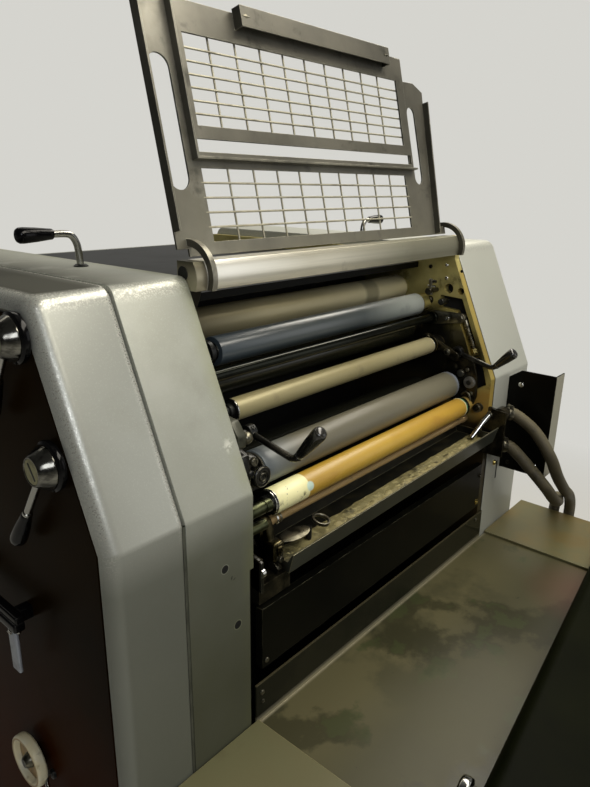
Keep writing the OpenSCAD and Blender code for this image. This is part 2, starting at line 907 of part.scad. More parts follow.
// Crank: a pin in the side frame, an arm, then a grip; x is the arm's middle
module crank(c, elbow, tip, pin0, pin1, x) {
    a = atan2(elbow[1] - c[1], elbow[0] - c[0]);
    l = norm(elbow - c);
    g = atan2(tip[1] - elbow[1], tip[0] - elbow[0]);
    gl = norm(tip - elbow);
    union() {
        color("#8f9192")
            rod_x(pin0, pin1, c, pin_r);
        color("#8f9192")
            rod_x(x - 7, x + 7, c, 12);
        color("#8f9192")
            translate([x, c[0], c[1]])
                rotate([a, 0, 0])
                    rotate([-90, 0, 0])
                        cylinder(h = l, r = crank_d / 2);
        color("#8f9192")
            translate([x, elbow[0], elbow[1]])
                sphere(crank_d / 2 + 0.4);
        color("#8f9192")
            translate([x, elbow[0], elbow[1]])
                rotate([g, 0, 0])
                    rotate([-90, 0, 0])
                        cylinder(h = 16, r = crank_d / 2 - 0.2);
        color("#171717")
            grip([x, elbow[0] + 14 * cos(g), elbow[1] + 14 * sin(g)], [g - 90, 0, 0], gl - 14);
    }
}

module operator_crank() {
    crank(op_crank_c, spot(op_elbow_at), spot(op_tip_at), -in_x + 2, op_arm_x + 7, op_arm_x);
}

module drive_crank() {
    crank(dr_crank_c, spot(dr_elbow_at), spot(dr_tip_at), dr_arm_x - 7, in_x - 2, dr_arm_x);
}

module spring_rod() {
    x = in_x - 9;
    color("#8c8a80")
        difference() {
            union() {
                rod_x(x - 5, x + 5, spring_top_c, 8.5);
                translate([x, spring_top_c[0], spring_top_c[1]])
                    rotate([spring_a, 0, 0])
                        rotate([-90, 0, 0])
                            union() {
                                translate([0, 0, 5])
                                    cylinder(h = spring_l - 5, r = 3);
                                translate([0, 0, 5])
                                    cylinder(h = 14, r = 5.5);
                                for (k = [0 : 9])
                                    translate([0, 0, 21.5 + 4.6 * k])
                                        rotate_extrude()
                                            translate([4.4, 0])
                                                circle(1.6, $fn = 16);
                                translate([0, 0, spring_l - 12])
                                    cylinder(h = 12, r = 7, $fn = 6);
                            }
            }
            rod_x(x - 10, x + 10, spring_top_c, 5 + run);
        }
}

// Dial standing off the side panel, with a lever and its grip
module dial(c, dir, l) {
    x1 = op_out + panel_recess - panel_t;
    color("#c2c4c4")
        rod_x(x1 - 10, x1 + panel_t - seat, c, journal_r);
    color("#c2c4c4")
        rod_x(x1 - 10, op_out - 0.5, c, 15);
    color("#c2c4c4")
        rod_x(x1 - 30, x1 - 10, c, dial_d / 2);
    color("#c2c4c4")
        translate([x1 - 16, c[0], c[1]])
            rotate([dir, 0, 0])
                rotate([-90, 0, 0])
                    cylinder(h = l - 54, r = 4.5);
    color("#171717")
        grip([x1 - 16, c[0] + (l - 60) * cos(dir), c[1] + (l - 60) * sin(dir)],
            [dir - 90, 0, 0], 60);
}

module upper_dial() {
    dial(upper_dial_c, -57, 125);
}

module lower_dial() {
    dial(lower_dial_c, -55, 150);
}

module ring_handwheel() {
    x1 = op_out + panel_recess - panel_t;
    color("#d8cfae")
        union() {
            rod_x(x1 - 14, x1 + panel_t - seat, wheel_c, journal_r);
            rod_x(x1 - 8, x1 - seat, wheel_c, 16);
            difference() {
                rod_x(x1 - 24, x1 - 8, wheel_c, wheel_d / 2);
                rod_x(x1 - 25, x1 - 14, wheel_c, wheel_d / 2 - 9);
            }
            rod_x(x1 - 26, x1 - 13, wheel_c, 11);
        }
}

module side_bar() {
    x1 = op_out + panel_recess - panel_t;
    y0 = side_bar_at[0] - hd;
    z0 = tower_h - side_bar_at[1];
    color("#131313")
        union() {
            translate([x1 - bar_stand, y0, z0])
                cube([bar_deep, bar_l, bar_h]);
            translate([x1 - bar_post, y0 + bar_l - back_post[0], z0])
                cube([bar_post, back_post[1], bar_h]);
            translate([x1 - bar_post, y0 + front_post[0], z0 + 2])
                cube([bar_post, front_post[1], bar_h - 4]);
            translate([x1 - bar_stand + bar_lever[3] / 2, y0 + bar_lever[0], z0 - bar_lever[2]])
                cube([bar_lever[3], bar_lever[1], bar_lever[2] + 2]);
        }
}

module bent_lever(p, z0, up, back, turn) {
    translate([p[0], p[1], z0])
        rotate([0, 0, turn]) {
            color("#b9bbbb")
                cylinder(h = up, r = crank_d / 2 - 0.01);
            color("#b9bbbb")
                translate([0, 0, up])
                    sphere(crank_d / 2);
            color("#b9bbbb")
                translate([0, 0, up])
                    rotate([-90, 0, 0])
                        cylinder(h = back, r = crank_d / 2 - 0.01);
            color("#171717")
                grip([0, back - 6, up], [-90, 0, 0], 52);
        }
}

module top_lever() {
    bent_lever(top_lever_p, tower_h - 20 + seat, 66, 44, 90);
}

module rear_lever() {
    bent_lever(rear_lever_p, tower_h + seat, 38, 32, -90);
}

module side_guard_plate() {
    x0 = in_x + guard_plate_x[0];
    y0 = guard_plate_y[0] - hd;
    z0 = table_z + guard_plate_z[0];
    z1 = table_z + guard_plate_z[1];
    z2 = table_z + guard_plate_z[2];
    t = 3;
    color("#0f0f0f")
        union() {
            along_x(x0, x0 + t)
                polygon([[y0, z0], [-hd, z0], [-hd, z1 + 6], [guard_plate_y[1] - hd, z2], [y0, z2]]);
            translate([x0, y0, z0])
                cube([guard_plate_x[1] - guard_plate_x[0], t, z2 - z0]);
            translate([x0, -hd - t, z0])
                cube([22, t, z1 - z0]);
        }
}

module upper_hose() {
    color("#6b6253")
        tube(smooth(route(upper_from, upper_bends), 3), hose_d / 2, 12, [0.3, 1, 0.1]);
}

module lower_hose() {
    color("#6b6253")
        tube(smooth(route(lower_from, lower_bends), 3), hose_d / 2, 12, [0.3, 1, 0.1]);
}

machine_base();
operator_inner_cover();
operator_outer_cover();
operator_side_panel();
drive_cover();
top_cover();
rear_cover();
inner_bulkhead();
operator_frame();
drive_frame();
front_panel();
front_housing();
table_plate();
operator_table_rail();
drive_table_rail();
front_hood();
hood_knob();
cross_bar();
guard_frame();
guard_mesh();
upper_guard_frame();
upper_guard_mesh();
ink_drum();
upper_rubber_roller();
dark_roller();
linkage_shaft();
steel_roller();
form_roller();
plate_cylinder();
damping_roller();
pan_rod();
water_pan();
pan_brackets();
operator_crank();
drive_crank();
spring_rod();
upper_dial();
lower_dial();
ring_handwheel();
side_bar();
top_lever();
rear_lever();
side_guard_plate();
upper_hose();
lower_hose();
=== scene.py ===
import math

import bmesh
import bpy
from mathutils import Matrix, Vector, noise


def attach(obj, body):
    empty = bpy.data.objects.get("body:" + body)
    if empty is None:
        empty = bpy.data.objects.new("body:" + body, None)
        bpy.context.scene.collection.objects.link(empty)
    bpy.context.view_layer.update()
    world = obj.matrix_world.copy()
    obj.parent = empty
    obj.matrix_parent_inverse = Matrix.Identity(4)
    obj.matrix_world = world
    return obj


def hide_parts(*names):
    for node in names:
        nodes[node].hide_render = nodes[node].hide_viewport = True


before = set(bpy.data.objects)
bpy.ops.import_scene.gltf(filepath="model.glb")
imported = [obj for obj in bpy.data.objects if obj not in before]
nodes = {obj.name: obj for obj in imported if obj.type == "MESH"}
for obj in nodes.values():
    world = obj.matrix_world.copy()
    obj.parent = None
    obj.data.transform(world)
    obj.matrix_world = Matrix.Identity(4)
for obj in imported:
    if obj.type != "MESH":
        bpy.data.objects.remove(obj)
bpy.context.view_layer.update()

scene = bpy.context.scene
scene.view_settings.view_transform = "Standard"

# All places and sizes below are in millimetres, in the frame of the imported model:
# X across the press, Y from the open front to the back, Z up from the floor.
MM = 0.001
X, Y, Z = Vector((1, 0, 0)), Vector((0, 1, 0)), Vector((0, 0, 1))


# Camera: at eye height in front of the operator's side, looking down into the roller bay
EYE = Vector((-898, -1014, 1551)) * MM
YAW, DOWN, ROLL = (math.radians(angle) for angle in (40.86, 17.76, -0.77))
FOCAL_PIXELS, LONG_SIDE_PIXELS, SENSOR = 648.5, 787, 36.0

ahead = Vector((math.cos(DOWN) * math.cos(YAW), math.cos(DOWN) * math.sin(YAW), -math.sin(DOWN)))
level = ahead.cross(Z).normalized()
under = ahead.cross(level)
across = level * math.cos(ROLL) + under * math.sin(ROLL)
below = under * math.cos(ROLL) - level * math.sin(ROLL)
camera = bpy.data.objects.new("camera", bpy.data.cameras.new("camera"))
camera.data.sensor_width = SENSOR
camera.data.lens = FOCAL_PIXELS / LONG_SIDE_PIXELS * SENSOR
camera.data.clip_start, camera.data.clip_end = 0.01, 60
camera.matrix_world = Matrix(
    [[across[k], -below[k], -ahead[k], EYE[k]] for k in range(3)] + [[0, 0, 0, 1]]
)
scene.collection.objects.link(camera)
scene.camera = camera


# Shader helpers
def linear(code):
    """An sRGB hex colour as linear red, green, blue and alpha."""
    parts = [int(code[k : k + 2], 16) / 255 for k in (1, 3, 5)]
    return [p / 12.92 if p <= 0.04045 else ((p + 0.055) / 1.055) ** 2.4 for p in parts] + [1]


def add(tree, kind, inputs=None, **settings):
    """Adds one shader node; an input is a value or another node's output."""
    made = tree.nodes.new(kind)
    for key, value in settings.items():
        setattr(made, key, value)
    for key, value in (inputs or {}).items():
        if isinstance(value, bpy.types.NodeSocket):
            tree.links.new(value, made.inputs[key])
        else:
            made.inputs[key].default_value = value
    return made


def pattern(tree, place, kind, size, stretch=(1, 1, 1)):
    """A grey pattern whose features are about size millimetres wide."""
    spot = add(tree, "ShaderNodeMapping", {"Vector": place, "Scale": stretch}).outputs[0]
    scale = 1 / (size * MM)
    if kind == "flakes":
        made = add(tree, "ShaderNodeTexVoronoi", {"Vector": spot, "Scale": scale})
        return add(tree, "ShaderNodeSeparateColor", {0: made.outputs["Color"]}).outputs[0]
    detail = {"fine": 2, "cloud": 5, "ragged": 9}[kind]
    made = add(
        tree,
        "ShaderNodeTexNoise",
        {"Vector": spot, "Scale": scale / 2, "Detail": detail, "Roughness": 0.62},
    )
    return made.outputs[0]


def share(tree, place, kind, *spec):
    """Where a layer lies, from 0 to 1: a pattern, an edge, a slope, a span or a spot."""
    if kind == "edge":
        radius, low, high = spec
        round_normal = add(tree, "ShaderNodeBevel", {"Radius": radius * MM}, samples=4).outputs[0]
        true_normal = add(tree, "ShaderNodeNewGeometry").outputs["True Normal"]
        value = add(
            tree, "ShaderNodeVectorMath", {0: round_normal, 1: true_normal}, operation="DOT_PRODUCT"
        ).outputs["Value"]
        low, high = 1 - low, 1 - high
    elif kind == "facing":
        axis, low, high = spec
        normal = add(tree, "ShaderNodeNewGeometry").outputs["Normal"]
        value = add(tree, "ShaderNodeSeparateXYZ", {0: normal}).outputs["XYZ".index(axis)]
    elif kind == "span":
        axis, low, high = spec
        low, high = low * MM, high * MM
        value = add(tree, "ShaderNodeSeparateXYZ", {0: place}).outputs["XYZ".index(axis)]
    elif kind == "spot":
        centre, low, high = spec
        value = add(
            tree,
            "ShaderNodeVectorMath",
            {0: place, 1: Vector(centre) * MM},
            operation="DISTANCE",
        ).outputs["Value"]
        low, high = low * MM, high * MM
    else:
        size, low, high, *stretch = spec
        value = pattern(tree, place, kind, size, *stretch)
    return add(tree, "ShaderNodeMapRange", {0: value, 1: low, 2: high}).outputs[0]


def surface(name, colour, rough, metal=0.0, layers=(), relief=(), soften=0.0, **sockets):
    """A finish. Each layer is (masks, strength, colour, roughness, metal); relief is (kind,
    size, depth, stretch) in millimetres; soften rounds the light over edges by a radius."""
    finish = bpy.data.materials.new(name)
    finish.use_nodes = True
    tree = finish.node_tree
    shader = tree.nodes["Principled BSDF"]
    place = add(tree, "ShaderNodeTexCoord").outputs["Object"]
    values = {"Base Color": linear(colour), "Roughness": rough, "Metallic": metal}
    for masks, strength, *over in layers:
        amount = strength
        for spec in masks:
            part = share(tree, place, *spec)
            amount = add(
                tree, "ShaderNodeMath", {0: part, 1: amount}, operation="MULTIPLY"
            ).outputs[0]
        for socket, value in zip(("Base Color", "Roughness", "Metallic"), over):
            if socket == "Base Color":
                made = add(
                    tree,
                    "ShaderNodeMix",
                    {0: amount, 6: values[socket], 7: linear(value)},
                    data_type="RGBA",
                )
                values[socket] = made.outputs[2]
            else:
                made = add(tree, "ShaderNodeMix", {0: amount, 2: values[socket], 3: value})
                values[socket] = made.outputs[0]
    normal = None
    if soften:
        normal = add(tree, "ShaderNodeBevel", {"Radius": soften * MM}, samples=4).outputs[0]
    for kind, size, depth, *stretch in relief:
        inputs = {"Height": pattern(tree, place, kind, size, *stretch), "Distance": depth * MM}
        if normal:
            inputs["Normal"] = normal
        normal = add(tree, "ShaderNodeBump", inputs).outputs[0]
    if normal:
        values["Normal"] = normal
    for socket, value in {**values, **sockets}.items():
        if isinstance(value, bpy.types.NodeSocket):
            tree.links.new(value, shader.inputs[socket])
        else:
            shader.inputs[socket].default_value = value
    return finish


# Shape helpers. Each gives a bmesh in millimetres.
def tidy(shape, crease=32):
    """Joins loose points, turns faces outwards and keeps edges above the crease angle sharp."""
    bmesh.ops.remove_doubles(shape, verts=shape.verts, dist=0.001)
    bmesh.ops.recalc_face_normals(shape, faces=shape.faces)
    for face in shape.faces:
        face.smooth = True
    for edge in shape.edges:
        edge.smooth = len(edge.link_faces) == 2 and edge.calc_face_angle() < math.radians(crease)
    return shape


def moved(shape, place=(0, 0, 0), toward=Z, turn=0.0):
    """Turns a shape's Z axis toward a direction and moves its origin to a place."""
    aim = Vector(toward).to_track_quat("Z", "Y").to_matrix().to_4x4()
    spin = Matrix.Rotation(math.radians(turn), 4, "Z")
    bmesh.ops.transform(
        shape, matrix=Matrix.Translation(Vector(place)) @ aim @ spin, verts=shape.verts
    )
    return shape


def turned(profile, place=(0, 0, 0), toward=Z, steps=40, crease=32):
    """A lathe piece: profile is (height, radius) pairs along the axis."""
    shape = bmesh.new()
    ring = [shape.verts.new((r, 0, h)) for h, r in profile]
    line = [shape.edges.new(pair) for pair in zip(ring, ring[1:])]
    bmesh.ops.spin(
        shape,
        geom=ring + line,
        cent=(0, 0, 0),
        axis=(0, 0, 1),
        angle=math.tau,
        steps=steps,
        use_merge=True,
        use_duplicate=False,
    )
    return moved(tidy(shape, crease), place, toward)


def rounded(shape, radius, segments=3, edges=None):
    """Bevels the given edges, or all that are sharp."""
    if edges is None:
        edges = [
            e
            for e in shape.edges
            if len(e.link_faces) == 2 and e.calc_face_angle() > math.radians(20)
        ]
    bmesh.ops.bevel(
        shape,
        geom=edges,
        offset=radius,
        segments=segments,
        profile=0.5,
        affect="EDGES",
        clamp_overlap=True,
        material=-1,
    )
    return shape


def slab(low, high, radius=1.0, segments=2):
    """A block between two corners with rounded edges."""
    shape = bmesh.new()
    bmesh.ops.create_cube(shape, size=1)
    low, high = Vector(low), Vector(high)
    for vert in shape.verts:
        vert.co = Vector([low[k] + (vert.co[k] + 0.5) * (high[k] - low[k]) for k in range(3)])
    return tidy(rounded(shape, radius, segments))


def pulled(shape, face, way):
    """Extrudes a shape's only face by a vector into a closed solid."""
    grown = bmesh.ops.extrude_face_region(shape, geom=[face])["geom"]
    bmesh.ops.translate(
        shape, vec=way, verts=[g for g in grown if isinstance(g, bmesh.types.BMVert)]
    )
    bmesh.ops.recalc_face_normals(shape, faces=shape.faces)
    return shape


def plate(outline, thickness, radius=0.6):
    """A flat drawing given a thickness along Z, with its edges broken."""
    shape = bmesh.new()
    face = shape.faces.new([shape.verts.new((x, y, 0)) for x, y in outline])
    return tidy(rounded(pulled(shape, face, (0, 0, thickness)), radius, 2))


def curve_points(points, parts):
    """A smooth line through the points."""
    line = []
    for k in range(len(points) - 1):
        a, b, c, d = (
            Vector(points[min(max(k + s, 0), len(points) - 1)]) for s in (-1, 0, 1, 2)
        )
        for j in range(parts):
            t = j / parts
            line.append(
                0.5
                * (
                    2 * b
                    + (c - a) * t
                    + (2 * a - 5 * b + 4 * c - d) * t * t
                    + (3 * b - a - 3 * c + d) * t**3
                )
            )
    return line + [Vector(points[-1])]


def bent(points, radius, parts=8, sides=16):
    """A round bar along a smooth line, closed at both ends."""
    line = curve_points(points, parts)
    shape = bmesh.new()
    turns = [math.tau * j / sides for j in range(sides)]
    rings = []
    for k, point in enumerate(line):
        aim = (line[min(k + 1, len(line) - 1)] - line[max(k - 1, 0)]).normalized()
        if k == 0:
            side = aim.orthogonal().normalized()
        else:
            side = (side - aim * side.dot(aim)).normalized()
        other = aim.cross(side)
        rings.append([
            shape.verts.new(point + (side * math.cos(a) + other * math.sin(a)) * radius)
            for a in turns
        ])
    edges = [
        [shape.edges.new((ring[j], ring[(j + 1) % sides])) for j in range(sides)]
        for ring in rings
    ]
    for first, second in zip(edges, edges[1:]):
        bmesh.ops.bridge_loops(shape, edges=first + second)
    shape.faces.new(rings[0])
    shape.faces.new(rings[-1])
    return tidy(shape)


def coil(radius, wire, length, turns, sides=8, steps=14):
    """A helical spring along Z."""
    count = int(turns * steps)
    turn = math.tau / steps
    points = [
        (radius * math.cos(turn * k), radius * math.sin(turn * k), length * k / count)
        for k in range(count + 1)
    ]
    return bent(points, wire, 1, sides)


def piece(name, body, parts, stands_for=()):
    """One object of several shapes, each with its finish, riding on a body."""
    whole = bmesh.new()
    finishes = []
    for shape, finish in parts:
        if finish not in finishes:
            finishes.append(finish)
        for face in shape.faces:
            face.material_index = finishes.index(finish)
        part = bpy.data.meshes.new(name)
        shape.to_mesh(part)
        shape.free()
        whole.from_mesh(part)
        bpy.data.meshes.remove(part)
    bmesh.ops.transform(whole, matrix=Matrix.Scale(MM, 4), verts=whole.verts)
    mesh = bpy.data.meshes.new(name)
    whole.to_mesh(mesh)
    whole.free()
    for finish in finishes:
        mesh.materials.append(finish)
    made = bpy.data.objects.new(name, mesh)
    scene.collection.objects.link(made)
    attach(made, body)
    if stands_for:
        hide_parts(*stands_for)


def dress(name, finish):
    """Gives a CAD node its finish."""
    mesh = nodes[name].data
    mesh.materials.clear()
    mesh.materials.append(finish)


# Hoses from the pan's clamps down to the inlet box beside the front housing
HOSE_D = 25
INLET = (612, 640.3)


def hose_route(start, bends):
    """The construction's route. Each bend is a share of the way across, the distance forward
    of the clamp and a share of the height."""
    x, y, z = start
    line = [start]
    for part, forward, height in bends:
        line.append((x + (INLET[0] - x) * part, y + forward, INLET[1] + (z - INLET[1]) * height))
    return line + [(INLET[0], y + bends[-1][1], INLET[1])]


UPPER_HOSE = hose_route((366, -503, 1100), [
    (0.073, -17, 0.993), (0.122, -59, 0.926), (0.154, -95, 0.817), (0.301, -104, 0.7),
    (0.561, -103, 0.583), (0.821, -98, 0.491), (0.967, -93, 0.387), (1.004, -89, 0.239),
    (1, -87, 0.109),
])
LOWER_HOSE = hose_route((362, -500, 1030), [
    (0.072, -20, 0.985), (0.128, -56, 0.892), (0.192, -94, 0.779), (0.344, -104, 0.677),
    (0.6, -94, 0.595), (0.848, -72, 0.544), (0.976, -60, 0.436), (1.004, -56, 0.256),
    (1, -54, 0.128),
])

# Braid-covered rubber: dull grey-brown, paler on top, darker where hands and oil reach it
hose_rubber = surface("rubber_hose_dusty", "#453f2e", 0.6, 0.0, [
    ([("cloud", 30, 0.42, 0.62)], 0.6, "#575039", 0.75),
    ([("facing", "Z", 0.2, 0.9)], 0.4, "#6c6549", 0.8),
    ([("ragged", 14, 0.56, 0.66)], 0.7, "#29251a", 0.45),
], [("fine", 2.2, 0.25), ("cloud", 12, 0.5)])


def hose(name, route, node):
    """A hose as a curve with a bevel."""
    points = curve_points(route, 6)
    data = bpy.data.curves.new(name, "CURVE")
    data.dimensions = "3D"
    line = data.splines.new("POLY")
    line.points.add(len(points) - 1)
    for point, place in zip(line.points, points):
        point.co = (*(place * MM), 1)
    data.bevel_depth = HOSE_D / 2 * MM
    data.bevel_resolution = 6
    data.use_fill_caps = True
    data.materials.append(hose_rubber)
    made = bpy.data.objects.new(name, data)
    scene.collection.objects.link(made)
    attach(made, "machine")
    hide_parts(node)


hose("upper_hose_tube", UPPER_HOSE, "upper_hose")
hose("lower_hose_tube", LOWER_HOSE, "lower_hose")

# Hammered aluminium enamel, sprayed: silver-grey with flakes, and painted highlights along the
# bends
SILVER = [
    ([("cloud", 260, 0.4, 0.68)], 0.45, "#868982", 0.42),
    ([("flakes", 0.9, 0.86, 1.0)], 0.35, "#b9bbb4", 0.26, 0.8),
    ([("ragged", 70, 0.56, 0.74)], 0.3, "#7d7d6c", 0.5),
    # Painted shade: low upright faces, and faces standing in front of the tower, darker than the
    # slopes
    ([("span", "Z", 1200, 1120), ("facing", "Z", 0.3, 0.1), ("span", "X", 200, 100),
      ("span", "Y", -486, -482)], 0.76, "#585b50", 0.4),
    ([("span", "Y", -482, -486)], 0.5, "#585b50", 0.4),
    # Painted light: the drive cover's face lighter than the operator's covers
    ([("span", "X", 340, 360), ("span", "Y", -486, -482)], 0.7, "#c6c8bd", 0.42),
    # Painted dark reflection: the operator cover's top made dark and matt
    ([("facing", "Z", 0.8, 0.97), ("span", "X", -380, -500)], 0.95, "#26261a", 0.9, 0.0),
    # Painted highlights: bright, glittering lines along the outer and inner roundings and the top
    # bend
    ([("span", "X", -560, -569), ("span", "X", -578, -572), ("span", "Z", 1140, 1220),
      ("flakes", 1.5, 0.5, 0.9)], 0.6, "#d2d1c6", 0.17, 0.9),
    ([("span", "X", -485, -480), ("span", "X", -471, -474), ("span", "Z", 1150, 1200),
      ("flakes", 1.5, 0.4, 0.9)], 0.65, "#dddcd2", 0.18, 0.9),
    ([("span", "Z", 1416, 1426), ("facing", "Z", 0.96, 0.85),
      ("flakes", 1.5, 0.5, 0.9)], 0.45, "#dddcd2", 0.2, 0.9),
    # Painted shade: a black slot low on the drive cover's front
    ([("span", "X", 412.4, 413), ("span", "X", 419.6, 419), ("span", "Z", 926, 927),
      ("span", "Z", 970, 969), ("span", "Y", -470, -474)], 1.0, "#0a0a08", 0.6),
    # Painted shade: darker toward the bottom
    ([("span", "Z", 1000, 600)], 0.35, "#4f534a", 0.45),
    ([("edge", 2.0, 0.03, 0.2), ("ragged", 9, 0.5, 0.62)], 0.6, "#b5b4a8", 0.3, 0.9),
]
HAMMER = [("fine", 2.4, 0.05), ("cloud", 7, 0.06)]
cover_enamel = surface("hammered_enamel", "#a2a49c", 0.34, 0.35, SILVER, HAMMER)
# The same enamel where hands wipe it: streaks and a scratch, with painted light high up, painted
# shade on the lower part and two open holes painted black for the shade inside them
strip_enamel = surface("hammered_enamel_wiped", "#a2a499", 0.4, 0.25, SILVER + [
    # Painted light: paler cloudy patches on the upper slope
    ([("cloud", 90, 0.5, 0.66), ("span", "Z", 1100, 1300)], 0.5, "#b0b2aa", 0.46),
    ([("span", "X", -385, -361), ("cloud", 40, 0.36, 0.6)], 0.5, "#8d9166", 0.42),
    # Painted shade: the lower part darkened below the bend
    ([("span", "Z", 1160, 1120), ("cloud", 200, 0.3, 0.6)], 0.5, "#4e4f3a", 0.4),
    ([("span", "Z", 1150, 900)], 0.55, "#37381f", 0.42),
    # Two open holes: worn pale rims round black centres, painted as the shade inside
    ([("spot", (-412, -480, 1085), 7.2, 6.2)], 0.9, "#8d9080", 0.5),
    ([("spot", (-412, -480, 1085), 6.2, 5.4)], 1.0, "#0b0b0a", 0.7),
    ([("spot", (-391, -480, 990), 7.6, 6.6)], 0.9, "#83866f", 0.5),
    ([("spot", (-391, -480, 990), 6.6, 5.8)], 1.0, "#0b0b0a", 0.7),
    ([("spot", (-398, -480, 1066), 5, 3), ("ragged", 5, 0.5, 0.53)], 0.9, "#22241f", 0.6),
    ([("spot", (-376, -452, 1236), 12, 3), ("ragged", 6, 0.48, 0.52)], 0.8, "#d2d3c8", 0.5),
], HAMMER)
# Black gloss enamel, brushed: deep brown-black, with a painted brown reflection that warms toward
# the floor
panel_enamel = surface("black_gloss_enamel", "#130b02", 0.3, 0.0, [
    ([("cloud", 220, 0.42, 0.7)], 0.7, "#231602", 0.36),
    # Painted reflection: warmer brown toward the floor
    ([("span", "Z", 1040, 640), ("cloud", 160, 0.25, 0.55)], 0.8, "#3c1903", 0.42),
    ([("ragged", 50, 0.58, 0.72)], 0.25, "#1c1408", 0.5),
], [("cloud", 9, 0.04)], 1.0, **{"Specular IOR Level": 0.012})
# Olive enamel on rough cast iron: edges rubbed to ochre, a painted highlight on the upper part, and
# black oil with painted shade round the shafts, deep in the frame and low down
olive_enamel = surface("olive_enamel_on_cast_iron", "#a89c5c", 0.34, 0.1, [
    ([("cloud", 70, 0.38, 0.62)], 0.6, "#7d7340", 0.24),
    ([("ragged", 26, 0.54, 0.66)], 0.7, "#231f12", 0.2),
    # Painted highlight: the upper part lighter
    ([("span", "Z", 1290, 1400), ("cloud", 40, 0.4, 0.6)], 0.7, "#c3ba7c", 0.3),
    ([("span", "Z", 1160, 1140), ("cloud", 30, 0.35, 0.55)], 0.8, "#a37d38", 0.3),
    # Black round the shafts: oil, and painted shade
    ([("spot", (342, -392, 1205), 86, 58)], 0.95, "#141209", 0.22),
    ([("spot", (342, -300, 1240), 90, 60)], 0.95, "#100f0a", 0.25),
    ([("edge", 2.5, 0.02, 0.15)], 0.8, "#b59c50", 0.3, 0.4),
    ([("span", "X", 343, 344), ("span", "Y", -380, -384)], 0.7, "#a08a44", 0.34),
    # Painted shade: black deep in the frame and low down behind the pan
    ([("span", "Y", -386, -350), ("span", "Z", 1290, 1250)], 0.96, "#0d0c08", 0.4),
    ([("span", "Z", 1095, 1070)], 0.93, "#100f0a", 0.4),
], [("cloud", 4, 0.3), ("fine", 1.6, 0.12)], 1.5)
# Black-oxidised sheet steel: dark and streaky, edges rubbed bare and bright where it is handled,
# with painted light on the lower part and the left end, and painted shade on faces turned from the
# front
guard_steel = surface("blackened_sheet_steel", "#7a776b", 0.36, 0.55, [
    ([("cloud", 120, 0.42, 0.62)], 0.6, "#47463f", 0.42),
    # Painted light: the lower part and the left end lighter
    ([("span", "Z", 1640, 1480), ("cloud", 80, 0.3, 0.6)], 0.5, "#85826f", 0.33),
    ([("span", "X", -250, -330), ("cloud", 70, 0.45, 0.6)], 0.6, "#a8a598", 0.3),
    ([("ragged", 22, 0.58, 0.68)], 0.5, "#2b2b26", 0.3),
    # Painted shade: faces turned away from the front darker
    ([("facing", "Y", -0.3, 0.1)], 0.85, "#23231f", 0.35),
    ([("edge", 1.6, 0.03, 0.2), ("ragged", 12, 0.42, 0.6)], 0.9, "#bcb8a6", 0.28),
], [("fine", 1.6, 0.06), ("cloud", 10, 0.1)], 0.8)
# Oil-blackened steel: nearly black, with grey worn edges
dark_steel = surface("blackened_steel_oiled", "#1d1e1e", 0.3, 0.6, [
    ([("cloud", 30, 0.45, 0.65)], 0.7, "#33342f", 0.4),
    ([("edge", 1.2, 0.03, 0.2), ("ragged", 7, 0.45, 0.6)], 0.8, "#7a776a", 0.3),
], [("cloud", 3, 0.12)], 0.7)
# Ground bare steel: draw lines and a brown film of old oil, with a painted reflection, bright at
# the left end and dimmer toward the right
bare_steel = surface("ground_bare_steel", "#e2ddc9", 0.3, 0.75, [
    ([("cloud", 60, 0.42, 0.66, (0.2, 1, 1))], 0.4, "#c4bfa9", 0.36),
    ([("fine", 1.5, 0.4, 0.7, (0.01, 1, 1))], 0.2, "#85847c", 0.42),
    ([("ragged", 40, 0.6, 0.72)], 0.45, "#6b675c", 0.45),
    # Painted reflection: dim toward the right, a bright band at the left end
    ([("span", "X", -80, 160)], 0.8, "#82816c", 0.42),
    ([("span", "X", -140, -300), ("span", "Z", 1420, 1440)], 0.95, "#fffdf2", 0.3),
], [("fine", 1.2, 0.012, (0.02, 1, 1))], 1.0)
# Welded steel wire: dull grey with brownish stains
mesh_wire = surface("welded_steel_wire_dulled", "#aaa692", 0.45, 0.5, [
    ([("ragged", 16, 0.5, 0.64)], 0.6, "#6f6a5a", 0.6),
    ([("cloud", 60, 0.5, 0.64)], 0.5, "#a5a295", 0.35),
], [("cloud", 2, 0.1)])
# Oil-stained sheet steel: grey-brown with dark pools, rubbed lighter near the back edge; the
# upturned edge has a painted dark reflection, a painted highlight along its bend and a faint one
# along the top edge
table_steel = surface("stained_sheet_steel", "#46442f", 0.42, 0.0, [
    ([("cloud", 260, 0.36, 0.62)], 0.7, "#383624", 0.34),
    ([("span", "Y", -640, -560), ("ragged", 150, 0.4, 0.46)], 0.8, "#545038", 0.36),
    ([("ragged", 120, 0.52, 0.56)], 0.7, "#29291b", 0.28),
    ([("ragged", 60, 0.58, 0.61)], 0.3, "#3f4a2a", 0.3),
    ([("spot", (300, -740, 800), 130, 30)], 0.5, "#5d3a30", 0.35),
    ([("ragged", 9, 0.7, 0.73)], 0.6, "#1d1b14", 0.3),
    # Painted dark reflection on the upturned flange, a painted highlight along its bend and a faint
    # one along its top edge
    ([("span", "Z", 804, 807)], 0.92, "#14150f", 0.2, 0.0),
    ([("span", "Y", -487, -481), ("span", "Z", 812, 803)], 0.8, "#b0aa92", 0.28, 0.9),
    ([("span", "Z", 864.6, 865.8)], 0.4, "#5d5640", 0.34, 0.4),
], [("cloud", 60, 0.4), ("fine", 2, 0.02)], 1.0, **{"Specular IOR Level": 0.2})
